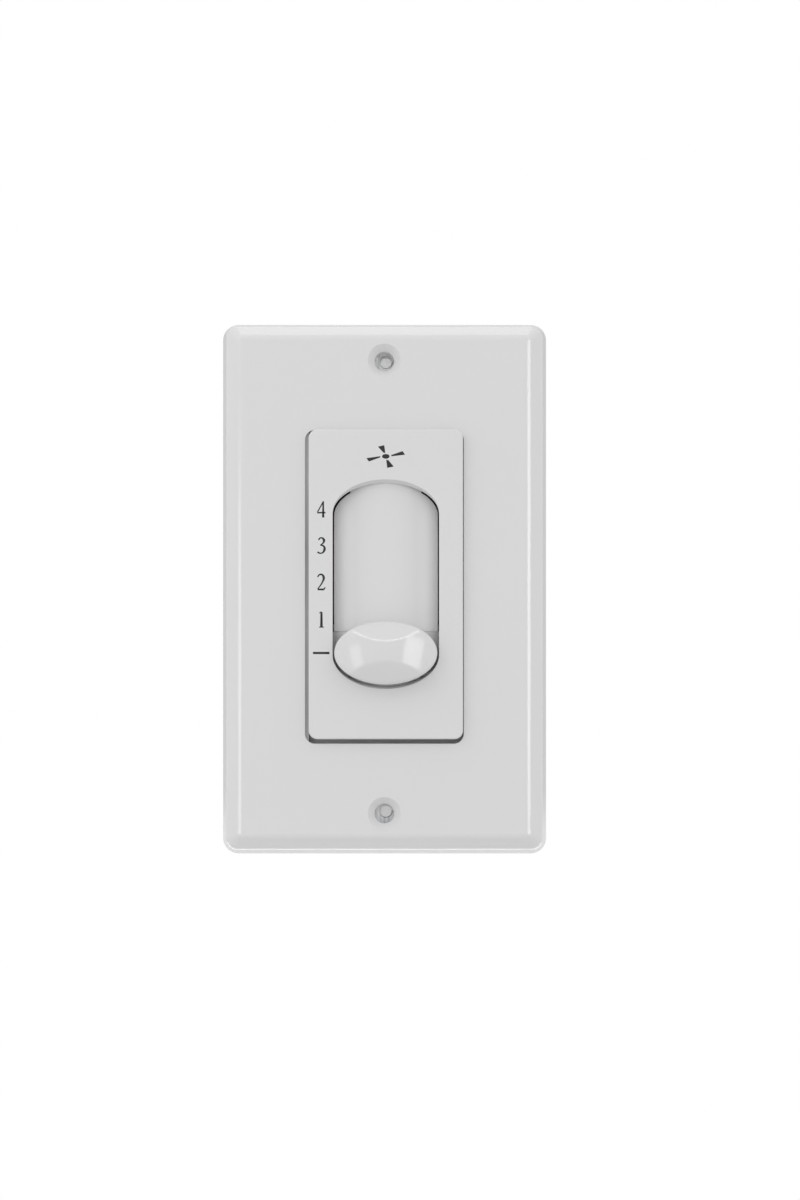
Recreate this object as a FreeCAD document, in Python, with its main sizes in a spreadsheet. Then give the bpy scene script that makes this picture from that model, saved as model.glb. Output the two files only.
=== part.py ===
"""A slide-type fan speed control in a single-gang wall plate, as a parametric model.

Millimetres. +X is right, +Y goes into the wall and +Z is up. The wall is the plane y = 0, the front faces -Y,
and a "height" is a distance out from the wall. The origin is midway between the two box screws.
"""

import FreeCAD, Part
import math
import os

import Sketcher
from FreeCAD import Vector

SPEEDS = 4
CORNER_SHARE = 0.95

SIZES = {
    # Wall plate
    "plate_width": 69.85,
    "plate_length": 114.3,
    "plate_height": 6.0,
    "plate_rim_height": 3.7,
    "plate_rim_draft": 1.0,
    "plate_border": 3.7,
    "plate_corner": 3.3,
    "plate_face_corner": 0.8,
    "plate_crease": 0.8,
    "plate_face_crease": 1.8,
    "plate_wall": 2.2,
    "plate_inner_bevel": 2.0,
    "plate_shift_x": -0.32,
    "plate_shift_z": -0.45,
    "plate_seat_wall": 1.5,
    "plate_rib": 1.2,
    "plate_rib_pitch": 36.0,
    "plate_screw_inset": 8.73,
    "plate_hole": 4.2,
    "plate_countersink": 7.1,
    "plate_boss": 10.0,
    "opening_margin": 0.5,
    "opening_corner": 2.1,
    # Raised insert
    "insert_side_gap": 2.32,
    "insert_end_gap": 2.5,
    "insert_height": 7.6,
    "insert_corner": 1.85,
    "insert_edge": 0.35,
    "insert_front": 1.3,
    "insert_wall": 1.6,
    "post_inset_x": 3.85,
    "post_inset_z": 4.4,
    "post_wall": 1.05,
    # Slot of the insert
    "slot_end_rise": 7.3,
    "slot_draft": 0.65,
    "slit": 0.22,
    # Crowned track
    "crown_gap": 0.1,
    "crown_radius": 25.0,
    "track_wall": 1.3,
    "bridge_inset": 2.4,
    "foot_side_gap": 0.2,
    "foot_end_gap": 0.4,
    "foot_length": 7.5,
    "foot_height": 4.6,
    # Slider
    "knob_clearance": 0.2,
    "knob_side_gap": 0.425,
    "knob_depth": 13.4,
    "knob_height": 12.6,
    "knob_barrel_radius": 24.0,
    "ridge_above": 2.5,
    "ridge_below": 1.8,
    "facet_slope": 0.43,
    "knob_edge": 0.45,
    "trim_spare": 1.0,
    "saddle_gap": 0.15,
    "saddle_wall": 0.9,
    "saddle_depth": 9.8,
    "leg_wall": 1.2,
    "leg_gap": 0.2,
    "leg_depth": 8.0,
    "leg_end_gap": 0.2,
    "barb": 0.5,
    # Strap
    "strap_wall": 1.2,
    "strap_side_margin": 0.25,
    "strap_body_length": 71.0,
    "strap_end_gap": 4.15,
    "ear_width": 24.0,
    "strap_corner": 3.0,
    "window_side_gap": 0.97,
    "window_end_gap": 2.725,
    "window_corner": 1.2,
    "box_screw_inset": 11.33,
    "box_slot_length": 7.0,
    "box_slot_width": 4.4,
    "tapped_hole": 2.8,
    "tapped_collar": 4.6,
    "tapped_collar_reach": 1.2,
    "tab_inset": 0.8,
    "tab_width": 7.0,
    "tab_length": 9.0,
    "tab_bend": 1.0,
    # Rear housing
    "housing_end_gap": 2.5,
    "housing_wall": 2.0,
    "housing_corner": 3.0,
    "housing_back_edge": 1.5,
    "housing_back_taper": 0.3,
    "housing_clearance": 0.8,
    "tower_wall": 1.2,
    "tower_seat": 8.0,
    "lead_hole": 4.6,
    "lead_x": 9.5,
    "lead_end_gap": 4.9,
    "ledge_reach": 2.0,
    "ledge_width": 2.2,
    "ledge_z": 12.0,
    # Switch base
    "sheet_wall": 0.4,
    "sheet_side_gap": 0.8,
    "sheet_window_gap": 0.2,
    "base_end_gap": 0.3,
    "base_side_gap": 0.45,
    "base_floor": 2.0,
    "base_width": 35.6,
    "base_end_wall": 1.5,
    "wing_reach": 2.4,
    "rail_gap": 0.67,
    "rail_wall": 2.2,
    "runner_width": 1.2,
    "runner_gap": 0.25,
    "runner_wall": 1.2,
    "runner_lift": 0.15,
    "detent_rise": 0.6,
    "detent_side_gap": 1.6,
    "detent_width": 2.0,
    "detent_gap": 0.1,
    # Carriage and contacts
    "carriage_length": 14.0,
    "carriage_end_gap": 1.125,
    "carriage_leg_gap": 0.1,
    "carriage_front": 1.4,
    "carriage_back": 5.6,
    "carriage_corner": 0.6,
    "contact_wall": 0.8,
    "contact_gap": 0.15,
    "contact_space": 2.1875,
    "contact_side_gap": 1.0,
    "contact_width": 5.4,
    "rail_contact_x": -4.8,
    "rail_contact_width": 3.4,
    "tail": 0.9,
    "tail_hole_gap": 0.15,
    "wiper_wall": 0.3,
    "wiper_depth": 4.0,
    "wiper_inset": 0.2,
    "dimple": 1.6,
    "dimple_rise": 0.15,
    "spring_wall": 0.25,
    "spring_slack": 0.6125,
    "spring_end": 1.5,
    "nose_width": 1.0,
    # Circuit board and what it carries
    "board_gap": 4.0,
    "board_wall": 1.6,
    "board_margin": 0.1,
    "board_corner": 1.6,
    "board_post": 3.6,
    "board_post_inset": 3.4,
    "resistor_diameter": 3.2,
    "resistor_length": 7.0,
    "resistor_space": 0.8,
    "resistor_gap": 0.4,
    "wire_reach": 1.5,
    "lead_wire": 0.6,
    "barrel_diameter": 3.8,
    "barrel_bore": 2.6,
    "barrel_length": 6.0,
    "barrel_seat": 1.0,
    # Capacitors
    "capacitor_edge": 0.8,
    "capacitor_margin": 0.8,
    "capacitor_gap": 2.5,
    "capacitor_side_gap": 1.5,
    "large_capacitor_height": 12.6,
    "medium_capacitor_width": 24.0,
    "medium_capacitor_length": 9.0,
    "medium_capacitor_height": 11.0,
    "small_capacitor_width": 18.0,
    "small_capacitor_length": 6.5,
    "small_capacitor_height": 9.5,
    # Screws
    "screw_diameter": 2.6,
    "screw_side_gap": 0.4,
    "screw_head": 4.8,
    "screw_head_gap": 0.3,
    "screw_head_length": 1.8,
    "screw_bite": 4.2,
    "screw_tip_gap": 0.3,
    "pilot_gap": 0.05,
    "ground_screw": 4.0,
    "ground_head": 6.4,
}

doc = FreeCAD.newDocument("fan_speed_control")
sheet = doc.addObject("Spreadsheet::Sheet", "sizes")


class Size:
    """A length that knows both its value and the formula that gives it."""

    def __init__(self, value, text):
        self.value = value
        self.text = text

    def join(self, other, sign, value):
        return Size(value, f"({self.text} {sign} {as_size(other).text})")

    def __add__(self, other):
        return self.join(other, "+", self.value + as_size(other).value)

    def __sub__(self, other):
        return self.join(other, "-", self.value - as_size(other).value)

    def __mul__(self, other):
        return self.join(other, "*", self.value * as_size(other).value)

    def __truediv__(self, other):
        return self.join(other, "/", self.value / as_size(other).value)

    def __neg__(self):
        return Size(-self.value, f"(0 - {self.text})")

    def __rsub__(self, other):
        return as_size(other) - self


def as_size(number):
    """A plain number as a Size."""
    return number if isinstance(number, Size) else Size(number, f"({number})")


def chord_drop(radius, half_width):
    """How far from its centre a circle of this radius is, along the axis, at this half width."""
    value = math.sqrt(radius.value ** 2 - half_width.value ** 2)
    return Size(value, f"sqrt({radius.text} ^ 2 - {half_width.text} ^ 2)")


def crease_radius(wanted, corner, rise, run):
    """The wanted radius, or less where the crease of a slope would use up the corner that it turns round."""
    slant = math.sqrt(rise.value ** 2 + run.value ** 2)
    most = corner.value * CORNER_SHARE * (run.value + slant) / rise.value
    reach = f"({run.text} + sqrt({rise.text} ^ 2 + {run.text} ^ 2))"
    limit = f"{corner.text} * {CORNER_SHARE} * {reach} / {rise.text}"
    return Size(min(wanted.value, most), f"min({wanted.text}; {limit})")


class Sheet:
    """The spreadsheet's sizes, each by its name."""

    def __init__(self):
        self.rows = 0
        for name, value in SIZES.items():
            self.write(name, float(value), str(value))

    def write(self, name, value, content):
        """Adds a named row to the sheet."""
        self.rows += 1
        sheet.set(f"A{self.rows}", name)
        sheet.set(f"B{self.rows}", content)
        sheet.setAlias(f"B{self.rows}", name)
        setattr(self, name, Size(value, f"sizes.{name}"))

    def tie(self, name, size):
        """Adds a size that follows from others, as a formula in the sheet."""
        self.write(name, size.value, "=" + size.text.replace("sizes.", ""))


S = Sheet()
ZERO = as_size(0)

# Lengths along the strap: the housing and the insert end short of the strap's body, the posts stand in from
# their ends, the base lies between the screw towers, and the carriage runs in the base.
S.tie("strap_length", S.plate_length - S.strap_end_gap * 2)
S.tie("plate_screw_spacing", S.plate_length - S.plate_screw_inset * 2)
S.tie("box_screw_spacing", S.strap_length - S.box_screw_inset * 2)
S.tie("housing_length", S.strap_body_length - S.housing_end_gap * 2)
S.tie("insert_length", S.strap_body_length - S.insert_end_gap * 2)
S.tie("post_z", S.housing_length / 2 - S.post_inset_z)
S.tie("screw_head_bore", S.screw_head + S.screw_head_gap * 2)
S.tie("tower_diameter", S.screw_head_bore + S.tower_wall * 2)
S.tie("base_length", S.post_z * 2 - S.tower_diameter - S.base_end_gap * 2)
S.tie("travel", S.base_length - (S.base_end_wall + S.carriage_end_gap) * 2 - S.carriage_length)
S.tie("step", S.travel / SPEEDS)
S.tie("contact_length", S.step - S.contact_space)
S.tie("spring_length", S.step + S.spring_end * 2 + S.spring_slack)
S.tie("slot_length", S.travel + S.knob_depth + (S.slot_draft + S.knob_clearance) * 2)
S.tie("window_length", S.travel + S.leg_depth + S.window_end_gap * 2)
S.tie("foot_outer_z", S.insert_length / 2 - S.insert_wall - S.foot_end_gap)
S.tie("foot_inner_z", S.foot_outer_z - S.foot_length)
S.tie("board_post_z", S.base_length / 2 - S.board_post_inset)
S.tie("lead_z", -(S.base_length / 2 - S.lead_end_gap))
S.tie("lower_resistor_z", S.lead_z + (S.barrel_diameter + S.resistor_diameter) / 2 + S.resistor_gap)
S.tie("upper_resistor_z", S.lower_resistor_z + S.resistor_diameter + S.resistor_space)
S.tie("capacitor_low_z", S.upper_resistor_z + S.resistor_diameter / 2 + S.capacitor_gap)
S.tie("capacitor_row", S.base_length / 2 - S.capacitor_margin * 3 - S.capacitor_low_z)
S.tie("large_capacitor_length", S.capacitor_row - S.medium_capacitor_length - S.small_capacitor_length)

# Widths: the base carries the rails, the legs run between the rails, the slot lies over the legs, and the
# insert, its posts and the feet of the track stand outside them.
S.tie("rail_outer_x", S.base_width / 2 - S.wing_reach)
S.tie("rail_inner_x", S.rail_outer_x - S.rail_wall)
S.tie("leg_outer_x", S.rail_inner_x - S.rail_gap)
S.tie("leg_inner_x", S.leg_outer_x - S.leg_wall)
S.tie("slot_width", (S.leg_inner_x - S.leg_gap + S.slit) * 2)
S.tie("knob_width", S.slot_width - S.knob_side_gap * 2)
S.tie("window_width", (S.leg_outer_x + S.window_side_gap) * 2)
S.tie("insert_width", (S.leg_outer_x + S.insert_side_gap + S.insert_wall) * 2)
S.tie("screw_hole", S.screw_diameter + S.screw_side_gap * 2)
S.tie("pilot_hole", S.screw_diameter + S.pilot_gap * 2)
S.tie("post_diameter", S.pilot_hole + S.post_wall * 2)
S.tie("post_x", S.insert_width / 2 - S.post_inset_x)
S.tie("foot_width", S.post_x * 2 - S.post_diameter - S.foot_side_gap * 2)
S.tie("bridge_width", S.foot_width - S.bridge_inset * 2)
S.tie("detent_x", S.rail_inner_x - S.runner_width - S.detent_side_gap - S.detent_width / 2)
S.tie("contact_outer_x", S.detent_x - S.detent_width / 2 - S.contact_side_gap)
S.tie("contact_inner_x", S.contact_outer_x - S.contact_width)
S.tie("board_post_x", S.rail_outer_x - S.board_post_inset)
S.tie("board_width", (S.rail_outer_x + S.board_margin) * 2)
S.tie("large_capacitor_width", S.board_width - S.capacitor_side_gap * 2)
S.tie("sheet_width", S.base_width - S.sheet_side_gap * 2)
S.tie("housing_width", S.base_width + (S.base_side_gap + S.housing_wall) * 2)
S.tie("strap_width", S.housing_width + S.strap_side_margin * 2)
S.tie("tab_centre_x", -(S.strap_width / 2 - S.tab_inset - S.tab_width / 2))

# Depths: the track stops short of the insert's front, and each layer behind the strap lies on the one before.
S.tie("crown_height", S.insert_height - S.insert_front - S.crown_gap)
S.tie("leg_reach", S.carriage_back - S.runner_wall - S.leg_end_gap)
S.tie("contact_depth", S.carriage_back + S.wiper_wall + S.dimple_rise + S.contact_gap)
S.tie("base_floor_depth", S.contact_depth + S.contact_wall)
S.tie("ledge_depth", S.base_floor_depth + S.base_floor)
S.tie("board_depth", S.ledge_depth + S.board_gap)
S.tie("board_back", S.board_depth + S.board_wall)
S.tie("housing_inside", S.board_back + S.large_capacitor_height + S.housing_clearance)
S.tie("housing_depth", S.housing_inside + S.housing_wall)
S.tie("knob_rest", -(S.travel / 2))
doc.recompute()


def new_body(label, x=ZERO, z=ZERO):
    """A body named after its piece, placed from the sheet."""
    body = doc.addObject("PartDesign::Body", label)
    body.Label = label
    body.setExpression("Placement.Base.x", x.text)
    body.setExpression("Placement.Base.z", z.text)
    return body


def sketch_on(body, role, name, offset=ZERO, shift_x=ZERO, shift_y=ZERO):
    """A sketch on a plane of the body. On XZ_Plane the offset is a height above the wall."""
    plane = next(f for f in body.Origin.OriginFeatures if f.Role == role)
    sketch = body.newObject("Sketcher::SketchObject", name)
    sketch.AttachmentSupport = [(plane, "")]
    sketch.MapMode = "FlatFace"
    sketch.setExpression("AttachmentOffset.Base.x", shift_x.text)
    sketch.setExpression("AttachmentOffset.Base.y", shift_y.text)
    sketch.setExpression("AttachmentOffset.Base.z", offset.text)
    return sketch


def dimension(sketch, kind, size, *where):
    """One dimension of a sketch, bound to the sheet."""
    index = sketch.addConstraint(Sketcher.Constraint(kind, *where, size.value))
    sketch.setExpression(f"Constraints[{index}]", size.text)


def hold(sketch, edge, end, x=None, y=None):
    """Holds a point at a distance from the sketch's own origin."""
    if x is not None:
        dimension(sketch, "DistanceX", x, -1, 1, edge, end)
    if y is not None:
        dimension(sketch, "DistanceY", y, -1, 1, edge, end)


class Follows(Size):
    """A coordinate that the rest of the outline settles, so that it gets no dimension."""

    def __init__(self, size):
        super().__init__(size.value, size.text)


def outline(sketch, points, arcs=None):
    """A closed outline through points. arcs gives the centre of each side that is an arc, by its number."""
    arcs = arcs or {}
    points = [(as_size(x), as_size(y)) for x, y in points]
    count = len(points)
    sides = []
    for number, (x, y) in enumerate(points):
        end_x, end_y = points[(number + 1) % count]
        if number in arcs:
            centre_x, centre_y = (as_size(c) for c in arcs[number])
            start = math.atan2(y.value - centre_y.value, x.value - centre_x.value)
            end = math.atan2(end_y.value - centre_y.value, end_x.value - centre_x.value)
            radius = math.hypot(x.value - centre_x.value, y.value - centre_y.value)
            forward = (end - start) % (2 * math.pi) < math.pi + 1e-6
            first, last = (start, end) if forward else (end, start)
            circle = Part.Circle(Vector(centre_x.value, centre_y.value, 0), Vector(0, 0, 1), radius)
            edge = sketch.addGeometry(Part.ArcOfCircle(circle, first, last))
            hold(sketch, edge, 3, centre_x, centre_y)
            sides.append((edge, 1, 2) if forward else (edge, 2, 1))
        else:
            line = Part.LineSegment(Vector(x.value, y.value, 0), Vector(end_x.value, end_y.value, 0))
            sides.append((sketch.addGeometry(line), 1, 2))
    for number, (edge, start, _) in enumerate(sides):
        before, _, before_end = sides[number - 1]
        sketch.addConstraint(Sketcher.Constraint("Coincident", before, before_end, edge, start))
        x, y = points[number]
        hold(sketch, edge, start, None if isinstance(x, Follows) else x, None if isinstance(y, Follows) else y)


def rectangle(sketch, left, right, low, high):
    """A rectangle from its four sides."""
    outline(sketch, [(left, low), (right, low), (right, high), (left, high)])


def centred_rectangle(sketch, width, length):
    """A rectangle about the sketch's origin."""
    rectangle(sketch, -width / 2, width / 2, -length / 2, length / 2)


def circle(sketch, diameter, x=ZERO, y=ZERO):
    """A circle by its diameter and centre."""
    edge = sketch.addGeometry(Part.Circle(Vector(x.value, y.value, 0), Vector(0, 0, 1), diameter.value / 2))
    hold(sketch, edge, 3, x, y)
    dimension(sketch, "Radius", diameter / 2, edge)


def half_ellipse(sketch, half_width, rise, centre_y, upward):
    """Half an ellipse on the sketch's Y axis. Returns the edge with its right and left ends."""
    ellipse = Part.Ellipse(Vector(0, centre_y.value, 0), half_width.value, rise.value)
    first = 0 if upward else math.pi
    edge = sketch.addGeometry(Part.ArcOfEllipse(ellipse, first, first + math.pi))
    sketch.exposeInternalGeometry(edge)
    across, along = edge + 1, edge + 2
    hold(sketch, edge, 3, ZERO, centre_y)
    right_end = 1 if sketch.Geometry[across].StartPoint.x > 0 else 2
    hold(sketch, across, right_end, half_width, centre_y)
    top_end = 1 if sketch.Geometry[along].StartPoint.y > centre_y.value else 2
    hold(sketch, along, top_end, None, centre_y + rise)
    return (edge, 1, 2) if upward else (edge, 2, 1)


def stadium(sketch, half_width, half_length, rise):
    """A long outline with straight sides and elliptical ends."""
    shoulder = half_length - rise
    top, top_right, top_left = half_ellipse(sketch, half_width, rise, shoulder, True)
    bottom, bottom_right, bottom_left = half_ellipse(sketch, half_width, rise, -shoulder, False)
    wide, tall = half_width.value, shoulder.value
    right = sketch.addGeometry(Part.LineSegment(Vector(wide, -tall, 0), Vector(wide, tall, 0)))
    left = sketch.addGeometry(Part.LineSegment(Vector(-wide, tall, 0), Vector(-wide, -tall, 0)))
    joins = [(bottom, bottom_right, right, 1), (right, 2, top, top_right)]
    joins += [(top, top_left, left, 1), (left, 2, bottom, bottom_left)]
    for join in joins:
        sketch.addConstraint(Sketcher.Constraint("Coincident", *join))
    for side in (right, left):
        hold(sketch, side, 1, None, -shoulder if side == right else shoulder)
        hold(sketch, side, 2, None, shoulder if side == right else -shoulder)


def feature(body, kind, name, profile, **settings):
    """A feature made from a sketch. Sizes among the settings are bound to the sheet."""
    made = body.newObject(f"PartDesign::{kind}", name)
    made.Profile = profile
    for key, setting in settings.items():
        if isinstance(setting, Size):
            made.setExpression(key, setting.text)
        else:
            setattr(made, key, setting)
    profile.Visibility = False
    doc.recompute()
    return made


def pad(body, name, profile, length, **settings):
    return feature(body, "Pad", name, profile, Length=length, **settings)


def pocket(body, name, profile, length, **settings):
    return feature(body, "Pocket", name, profile, Length=length, **settings)


def edges(base, test):
    """The names of the edges that pass a test."""
    return [f"Edge{number}" for number, edge in enumerate(base.Shape.Edges, start=1) if test(edge)]


def dress(body, kind, name, base, test, **sizes):
    """A fillet or chamfer on the edges that pass a test."""
    made = body.newObject(f"PartDesign::{kind}", name)
    made.Base = (base, edges(base, test))
    for key, size in sizes.items():
        made.setExpression(key, size.text)
    doc.recompute()
    return made


def near(value, target, room=0.01):
    return abs(value - target) < room


def runs_along(edge, direction):
    """Whether a straight edge runs along a direction."""
    if edge.Curve.TypeId != "Part::GeomLine":
        return False
    return edge.Curve.Direction.cross(direction).Length < 1e-6


def depth_edge(edge):
    """Whether an edge runs straight into the wall, as the corners of a moulding do."""
    return runs_along(edge, Vector(0, 1, 0))


def at_height(edge, height):
    """Whether a whole edge lies at a height above the wall."""
    box = edge.BoundBox
    return near(box.YMin, -height.value) and near(box.YMax, -height.value)


def rounded_rectangle(sketch, width, length, corner):
    """A rectangle about the sketch's origin with round corners."""
    wide, tall = width / 2, length / 2
    in_x, in_y = wide - corner, tall - corner
    points = [(-in_x, Follows(-tall)), (in_x, -tall), (Follows(wide), -in_y), (wide, in_y)]
    points += [(in_x, Follows(tall)), (-in_x, tall), (Follows(-wide), in_y), (-wide, -in_y)]
    outline(sketch, points, {1: (in_x, -in_y), 3: (in_x, in_y), 5: (-in_x, in_y), 7: (-in_x, -in_y)})


def wall_plate():
    """Cover plate: a shell with a drafted rim, a sloped border, a seat round its opening and two screw bosses."""
    body = new_body("wall_plate", S.plate_shift_x, S.plate_shift_z)
    rim = sketch_on(body, "XZ_Plane", "plate_rim")
    rounded_rectangle(rim, S.plate_width, S.plate_length, S.plate_corner)
    low = sketch_on(body, "XZ_Plane", "border_foot", S.plate_rim_height)
    draft = S.plate_rim_draft
    rounded_rectangle(low, S.plate_width - draft * 2, S.plate_length - draft * 2, S.plate_corner - draft)
    feature(body, "AdditiveLoft", "drafted_rim", rim, Sections=[low], Ruled=True)
    high = sketch_on(body, "XZ_Plane", "border_top", S.plate_height)
    face_width = S.plate_width - S.plate_border * 2
    face_length = S.plate_length - S.plate_border * 2
    rounded_rectangle(high, face_width, face_length, S.plate_face_corner)
    border = feature(body, "AdditiveLoft", "sloped_border", low, Sections=[high], Ruled=True)
    foot = dress(body, "Fillet", "border_crease", border, lambda e: at_height(e, S.plate_rim_height),
                 Radius=S.plate_crease)
    rise, run = S.plate_height - S.plate_rim_height, S.plate_border - draft
    dress(body, "Fillet", "face_crease", foot, lambda e: at_height(e, S.plate_height),
          Radius=crease_radius(S.plate_face_crease, S.plate_face_corner, rise, run))
    depth = S.plate_height - S.plate_wall
    straight = depth - S.plate_inner_bevel
    inner_width, inner_length = S.plate_width - S.plate_wall * 2, S.plate_length - S.plate_wall * 2
    inside = sketch_on(body, "XZ_Plane", "inside_outline")
    centred_rectangle(inside, inner_width, inner_length)
    pocket(body, "inside", inside, straight, Reversed=True)
    deep = sketch_on(body, "XZ_Plane", "inside_foot", straight)
    centred_rectangle(deep, inner_width, inner_length)
    top = sketch_on(body, "XZ_Plane", "inside_top", depth)
    centred_rectangle(top, inner_width - S.plate_inner_bevel * 2, inner_length - S.plate_inner_bevel * 2)
    feature(body, "SubtractiveLoft", "inside_bevel", deep, Sections=[top], Ruled=True)
    seats = sketch_on(body, "XZ_Plane", "seats", S.strap_wall)
    opening_width = S.insert_width + S.opening_margin * 2
    opening_length = S.insert_length + S.opening_margin * 2
    seat_width, seat_length = opening_width + S.plate_seat_wall * 2, opening_length + S.plate_seat_wall * 2
    centred_rectangle(seats, seat_width, seat_length)
    for side in (1, -1):
        circle(seats, S.plate_boss, ZERO, S.plate_screw_spacing * side / 2)
    pad(body, "seat_and_bosses", seats, depth - S.strap_wall + S.plate_wall / 2)
    ribs = sketch_on(body, "XZ_Plane", "rib_outlines", S.strap_wall)
    inner, outer = (seat_width - S.plate_seat_wall) / 2, (inner_width - S.plate_inner_bevel) / 2
    for left, right in ((inner, outer), (-outer, -inner)):
        for row in (-1, 0, 1):
            middle = S.plate_rib_pitch * row / 2
            rectangle(ribs, left, right, middle - S.plate_rib / 2, middle + S.plate_rib / 2)
    pad(body, "ribs", ribs, depth - S.strap_wall + S.plate_wall / 4)
    opening = sketch_on(body, "XZ_Plane", "opening_outline")
    rounded_rectangle(opening, opening_width, opening_length, S.opening_corner)
    pocket(body, "opening", opening, S.plate_height, Type="ThroughAll", Midplane=True)
    hole = sketch_on(body, "YZ_Plane", "screw_hole_section", shift_y=S.plate_screw_spacing / 2)
    wide, narrow = S.plate_countersink / 2, S.plate_hole / 2
    cone = S.plate_height - (wide - narrow)
    front = -S.plate_height
    outline(hole, [(ZERO, ZERO), (ZERO, narrow), (-cone, narrow), (front, wide), (front, ZERO)])
    turned = body.newObject("PartDesign::Groove", "screw_hole")
    turned.Profile = hole
    turned.ReferenceAxis = (hole, ["H_Axis"])
    turned.Angle = 360
    doc.recompute()
    mirror = body.newObject("PartDesign::Mirrored", "second_screw_hole")
    mirror.Originals = [turned]
    mirror.MirrorPlane = (next(f for f in body.Origin.OriginFeatures if f.Role == "XY_Plane"), [""])
    body.Tip = mirror
    doc.recompute()
    return body


def front_bezel():
    """Raised insert: a rounded block, hollow behind, with the drafted slot and four posts for the screws."""
    body = new_body("front_bezel")
    face = sketch_on(body, "XZ_Plane", "insert_outline", S.strap_wall)
    rounded_rectangle(face, S.insert_width, S.insert_length, S.insert_corner)
    block = pad(body, "insert", face, S.insert_height - S.strap_wall)
    dress(body, "Fillet", "front_edge", block, lambda e: at_height(e, S.insert_height), Radius=S.insert_edge)
    back = S.insert_height - S.insert_front
    inside = sketch_on(body, "XZ_Plane", "hollow_outline", S.strap_wall)
    centred_rectangle(inside, S.insert_width - S.insert_wall * 2, S.insert_length - S.insert_wall * 2)
    pocket(body, "hollow", inside, back - S.strap_wall, Reversed=True)
    posts = sketch_on(body, "XZ_Plane", "post_outlines", S.strap_wall)
    for x, z in corner_signs():
        circle(posts, S.post_diameter, S.post_x * x, S.post_z * z)
    pad(body, "posts", posts, back - S.strap_wall + S.insert_front / 2)
    bores = sketch_on(body, "XZ_Plane", "post_bores", S.strap_wall)
    for x, z in corner_signs():
        circle(bores, S.pilot_hole, S.post_x * x, S.post_z * z)
    pocket(body, "post_holes", bores, S.screw_bite + S.screw_tip_gap, Reversed=True)
    front = sketch_on(body, "XZ_Plane", "slot_front", S.insert_height)
    stadium(front, S.slot_width / 2, S.slot_length / 2, S.slot_end_rise)
    rear = sketch_on(body, "XZ_Plane", "slot_rear", back)
    stadium(rear, S.slot_width / 2, S.slot_length / 2 - S.slot_draft, S.slot_end_rise - S.slot_draft)
    feature(body, "SubtractiveLoft", "slot", rear, Sections=[front], Ruled=True)
    return body


def corner_signs():
    """The four corners, as signs along X and Z."""
    return [(x, z) for x in (1, -1) for z in (1, -1)]


def arch(sketch, inner, outer, half_width):
    """The section of a shell that is curved about the crown's centre, on the XY plane."""
    centre = S.crown_radius - S.crown_height
    high, low = centre - chord_drop(outer, half_width), centre - chord_drop(inner, half_width)
    points = [(-half_width, high), (half_width, Follows(high)), (half_width, low), (-half_width, Follows(low))]
    outline(sketch, points, {0: (ZERO, centre), 2: (ZERO, centre)})


def track_plate():
    """Crowned panel: an island that fills the slot, bridged at both ends to feet that stand on the strap."""
    body = new_body("track_plate")
    inner = S.crown_radius - S.track_wall
    half_width = S.slot_width / 2 - S.slit
    half_length = S.slot_length / 2 - S.slot_draft - S.slit
    section = sketch_on(body, "XY_Plane", "island_section")
    arch(section, inner, S.crown_radius, half_width)
    pad(body, "island", section, half_length * 2, Midplane=True)
    keep = sketch_on(body, "XZ_Plane", "island_outline")
    stadium(keep, half_width, half_length, S.slot_end_rise - S.slot_draft - S.slit)
    centred_rectangle(keep, S.slot_width * 2, S.slot_length * 2)
    pocket(body, "island_ends", keep, S.crown_height, Type="ThroughAll", Midplane=True)
    tongue = sketch_on(body, "XY_Plane", "bridge_section")
    arch(tongue, inner, S.crown_radius, S.bridge_width / 2)
    pad(body, "bridges", tongue, S.foot_outer_z * 2, Midplane=True)
    feet = sketch_on(body, "XZ_Plane", "feet_outlines", S.strap_wall)
    rectangle(feet, -S.foot_width / 2, S.foot_width / 2, S.foot_inner_z, S.foot_outer_z)
    rectangle(feet, -S.foot_width / 2, S.foot_width / 2, -S.foot_outer_z, -S.foot_inner_z)
    pad(body, "feet", feet, S.foot_height - S.strap_wall)
    return body


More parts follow.
